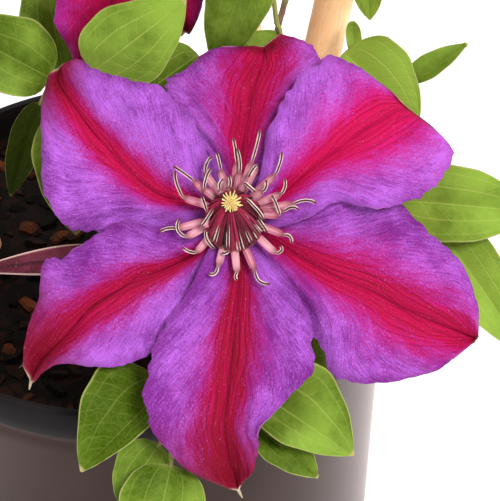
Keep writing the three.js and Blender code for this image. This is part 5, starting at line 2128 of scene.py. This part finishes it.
def make_vines(blooms: dict[str, Bloom], buds: dict[str, Bud]) -> list[Vine]:
    """List the climbing stems: the points they pass, their shoots and their leaves.

    Args:
        blooms: The blooms that their stalks carry.
        buds: The buds that their stalks carry.

    Returns:
        The stems.
    """

    def behind(name: str, further: float = 0.0) -> Vector:
        """Find the end of the stalk that carries a bloom, or a point further back."""
        bloom = blooms[name]
        return bloom.centre - bloom.facing.normalized() * (5.3 + further)

    low, left, left_back = points(24, 4, 246, -18, 0, 242, -17, 14, 238)
    right, right_out, crossing = points(80, 16, 242, 96, -24, 211, 52, -3, 266)
    front, front_near, front_right = points(19, -88, 169, 20, -66, 179, 44, -66, 180)
    return [
        Vine(
            "middle", 1.8,
            points(9, 20, 112, 9.5, 22, 150, 12, 29, 190, 3, 38.5, 235, -6, 38.5, 265,
                   -11.5, 36.5, 290, -10, 31, 320, -2, 38.8, 365, 7, 38, 395, 12.5, 36, 412,
                   10.5, 30, 440, 2, 38.8, 485, -7, 38.5, 515, -12, 36.5, 532, -9, 40, 565),
            [
                points(12, 29, 190, 17, 14, 222, 24, 4, 246),
                points(-10, 31, 320, -9, 19, 319, 1, 14, 311)
                + [behind("upper", 2), behind("upper")],
                points(-7, 38.5, 515, 6, 42, 528, 14, 31, 538, 14, 18, 543)
                + [buds["top"].stalk_end()],
            ],
            [Leaf(low, face(27, 66.5, 58), face(6, 51, 58), 18)],
            [(205, 95), (335, 50), (385, 85), (440, -60), (440, 100), (495, 20), (560, -110),
             (560, 70)],
            0,
        ),
        Vine(
            "left", 1.5,
            points(-9, 18, 112, -9.5, 20, 150, -11, 26, 190, -12.5, 28, 230, -23, 30, 262,
                   -43, 32, 285, -61, 32, 300, -72, 31, 320, -76, 32, 342, -88.6, 39, 375,
                   -101, 38.5, 395, -110, 36.5, 412, -112.5, 31, 440, -111, 39, 485,
                   -108, 38.5, 515, -106, 36.5, 532, -114, 39, 565),
            [
                points(-12.5, 28, 230, -17, 14, 238, -18, 0, 242),
                points(-88.6, 39, 375, -76, 33, 385, -65, 16, 394, -53, 0, 425)
                + [behind("left", 3), behind("left")],
            ],
            [
                Leaf(left, face(-20, 59, 58), face(-51, 75, 60), 27, sides=(0.84, 1.0), tone=0.35),
                Leaf(left_back, face(-17, 62, 48), face(-24, 100, 46), 22, tone=0.3),
                Leaf(left, face(-6, 60, 70), face(24, 81, 84), 27, 0, 0.05,
                     facing=Vector((0, -0.94, 0.34)), tone=0.74),
                Leaf(left, face(-13, 49, 60), face(-12, 9, 58), 25, tone=0.35),
                # Painted shadow: this leaf's tone is below zero.
                Leaf(left_back, face(-27, 54, 22), face(-38, 22.5, 16), 12, tone=-0.7),
            ],
            [(330, -70), (330, 100), (440, 150), (500, -170), (560, -80), (560, 130)],
            1,
        ),
        Vine(
            "right", 1.1,
            points(38, 20, 112, 38.5, 20, 150, 45, 24, 190, 52.3, 27, 241, 55.5, 27.5, 256,
                   63, 28, 290, 70, 31, 320, 77, 37, 342, 88, 40, 365, 102, 38.5, 395,
                   110, 36.5, 412, 113, 30, 440, 112, 39, 485, 108, 38.5, 515,
                   106, 36.5, 532, 114, 39, 565),
            [
                points(45, 24, 190, 60, 40, 208, 74, 39.5, 222, 80, 28, 234, 80, 16, 242),
                points(45, 24, 190, 60, 8, 196, 80, -10, 206, 96, -24, 211),
                points(55.5, 27.5, 256, 55, 17, 262, 54, 6, 264, 52, -3, 266),
                points(108, 38.5, 515, 100, 31, 502) + [buds["right"].stalk_end()],
                points(55.5, 27.5, 256, 60, 36, 262, 70, 42.5, 262),
            ],
            [
                Leaf(right, face(74, 68, 50), face(98, 44, 52), 27, tone=1.0),
                Leaf(right, face(77, 79, 42), face(78.5, 63, 43), 5, tone=0.6),
                Leaf(right, face(95, 60, 44), face(114, 71, 50), 8),
                Leaf(Vector((70, 42.5, 262)), face(82, 101, 27), face(84, 81.5, 24), 12, tone=0.6),
                Leaf(right_out, face(90, 20.5, 52), face(137, 16, 56), 25, tone=0.85),
                Leaf(right_out, face(104, 12, 50), face(132, -29, 54), 21, tone=0.9),
                Leaf(crossing, face(47, 100, 94), face(32.5, 63, 58), 21, 0.12, 0.05, tone=0.12),
                Leaf(crossing, face(54, 71, 64.5), face(32, 66, 64.5), 8, 0.1),
            ],
            [(300, 80), (335, -100), (385, 40), (440, -45), (500, 20), (560, 60)],
            2,
        ),
        Vine(
            "front", 1.6,
            points(20, -5, 112, 20, -6, 150, 22, -12, 175, 28, -22, 196, 35, -36, 212)
            + [behind("main")],
            [
                points(20, -6, 160, 20, -40, 177, 20, -66, 179, 19, -88, 169),
                points(20, -8, 165, 34, -40, 180, 44, -66, 180),
                points(22, -12, 175, 10, -30, 191) + [buds["side"].stalk_end()],
                points(20, -40, 177, 4, -47, 183) + [buds["low"].stalk_end()],
            ],
            [
                Leaf(front_near, face(17, -39, 63), face(-9, -65, 74), 20, sides=(0.5, 1.9),
                     tone=0.12),
                Leaf(front, face(15, -57, 68), face(2, -76, 64), 18, 0.1, tone=0.6),
                Leaf(front, face(19, -63, 72), face(12, -95, 71), 27, 0.1, tone=0.3),
                Leaf(front_right, face(46, -40.5, 65), face(76, -60, 72), 24, 0.2,
                     sides=(1.5, 0.75), tone=0.55),
                Leaf(front_right, face(46, -52, 63), face(65, -67.5, 68), 15, sides=(1.2, 0.8),
                     tone=0.3),
                Leaf(front_right, face(60, -20, 50), face(68, -35, 52), 12, tone=0.3),
            ],
            [],
            3,
        ),
    ]


# ---- the studio ----
@dataclass
class Studio:
    """The pale floor, the soft lights and the camera."""

    floor_size: float = 8.0
    target: Triple = (0.03, -0.06, 0.2)
    sky: float = 0.42
    eye: Triple = (0.0426, -0.5474, 0.6161)
    focal: float = 144.0
    sensor: float = 36.0
    down: float = 40.0

    def light(self, name: str, place: Triple, size: float, power: float) -> None:
        """Set up one soft area light that faces the plant.

        Args:
            name: The light's name.
            place: Where it stands, in metres.
            size: The side of its square, in metres.
            power: Its power in watts.
        """
        data = bpy.data.lights.new(name, "AREA")
        data.shape = "SQUARE"
        data.size = size
        data.energy = power
        lamp = bpy.data.objects.new(name, data)
        bpy.context.scene.collection.objects.link(lamp)
        way = Vector(self.target) - Vector(place)
        turn = way.to_track_quat("-Z", "Y").to_matrix().to_4x4()
        lamp.matrix_world = Matrix.Translation(place) @ turn

    def floor(self) -> None:
        """Lay the floor."""
        deselect()
        bpy.ops.mesh.primitive_plane_add(size=self.floor_size, location=(0, 0, -0.0004))
        floor = added("floor")
        floor.data.materials.append(bpy.data.materials[Finish.FLOOR.value[0]])

    def build(self) -> None:
        """Lay the floor, light it, and set up the camera."""
        self.floor()
        scene = bpy.context.scene
        world = bpy.data.worlds.new("studio")
        world.use_nodes = True
        background = world.node_tree.nodes["Background"]
        background.inputs["Color"].default_value = (1, 1, 1, 1)
        background.inputs["Strength"].default_value = self.sky
        scene.world = world
        scene.view_settings.view_transform = "Standard"
        self.light("key", (1.2, -1.7, 2.6), 1.0, 88)
        self.light("top", (-0.5, 0.8, 3.2), 1.6, 72)
        self.light("side", (3.0, 0.3, 0.8), 1.6, 18)
        camera = bpy.data.cameras.new("camera")
        camera.lens = self.focal
        camera.sensor_width = self.sensor
        camera.sensor_fit = "HORIZONTAL"
        camera.clip_start = 0.01
        eye = bpy.data.objects.new("camera", camera)
        scene.collection.objects.link(eye)
        eye.location = self.eye
        eye.rotation_euler = (radians(90 - self.down), 0, 0)
        scene.camera = eye


def holes_in_soil(canes: list[Cane], vines: list[Vine]) -> list[tuple[Vector, float]]:
    """List where the canes and stems enter the soil, and how wide they need to be left free.

    Args:
        canes: The canes.
        vines: The stems.

    Returns:
        The middle and the radius of each place.
    """
    room = 1.5
    places = []
    for cane in canes:
        spot = cane.start + cane.direction * ((SOIL_TOP - cane.start.z) / cane.direction.z)
        places.append((spot, CANE_RADIUS))
    places += [(vine.stem[1], vine.radius) for vine in vines]
    return [
        (Vector((spot.x, spot.y, 0)) + PLANT_PLACE, radius + room) for spot, radius in places
    ]


def main() -> None:
    """Build the plant and its studio in order."""
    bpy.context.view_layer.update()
    for finish in (
        PotPlastic(), Bark(), Bamboo(), Twine(), LeafGreen(), StemBrown(), TepalSatin(),
        StamenPink(), StyleCream(), BudMaroon(), FloorWhite(),
    ):
        finish.make()
    blooms = make_blooms()
    buds = make_buds()
    vines = make_vines(blooms, buds)
    trellis = Trellis()
    soil = Soil(clear_of=holes_in_soil(trellis.canes(), vines))
    for assembly in (Pot(), soil, trellis, *blooms.values(), *buds.values(), *vines, Studio()):
        LOG.info("making the %s", type(assembly).__name__.lower())
        assembly.build()


if __name__ == "__main__":
    main()
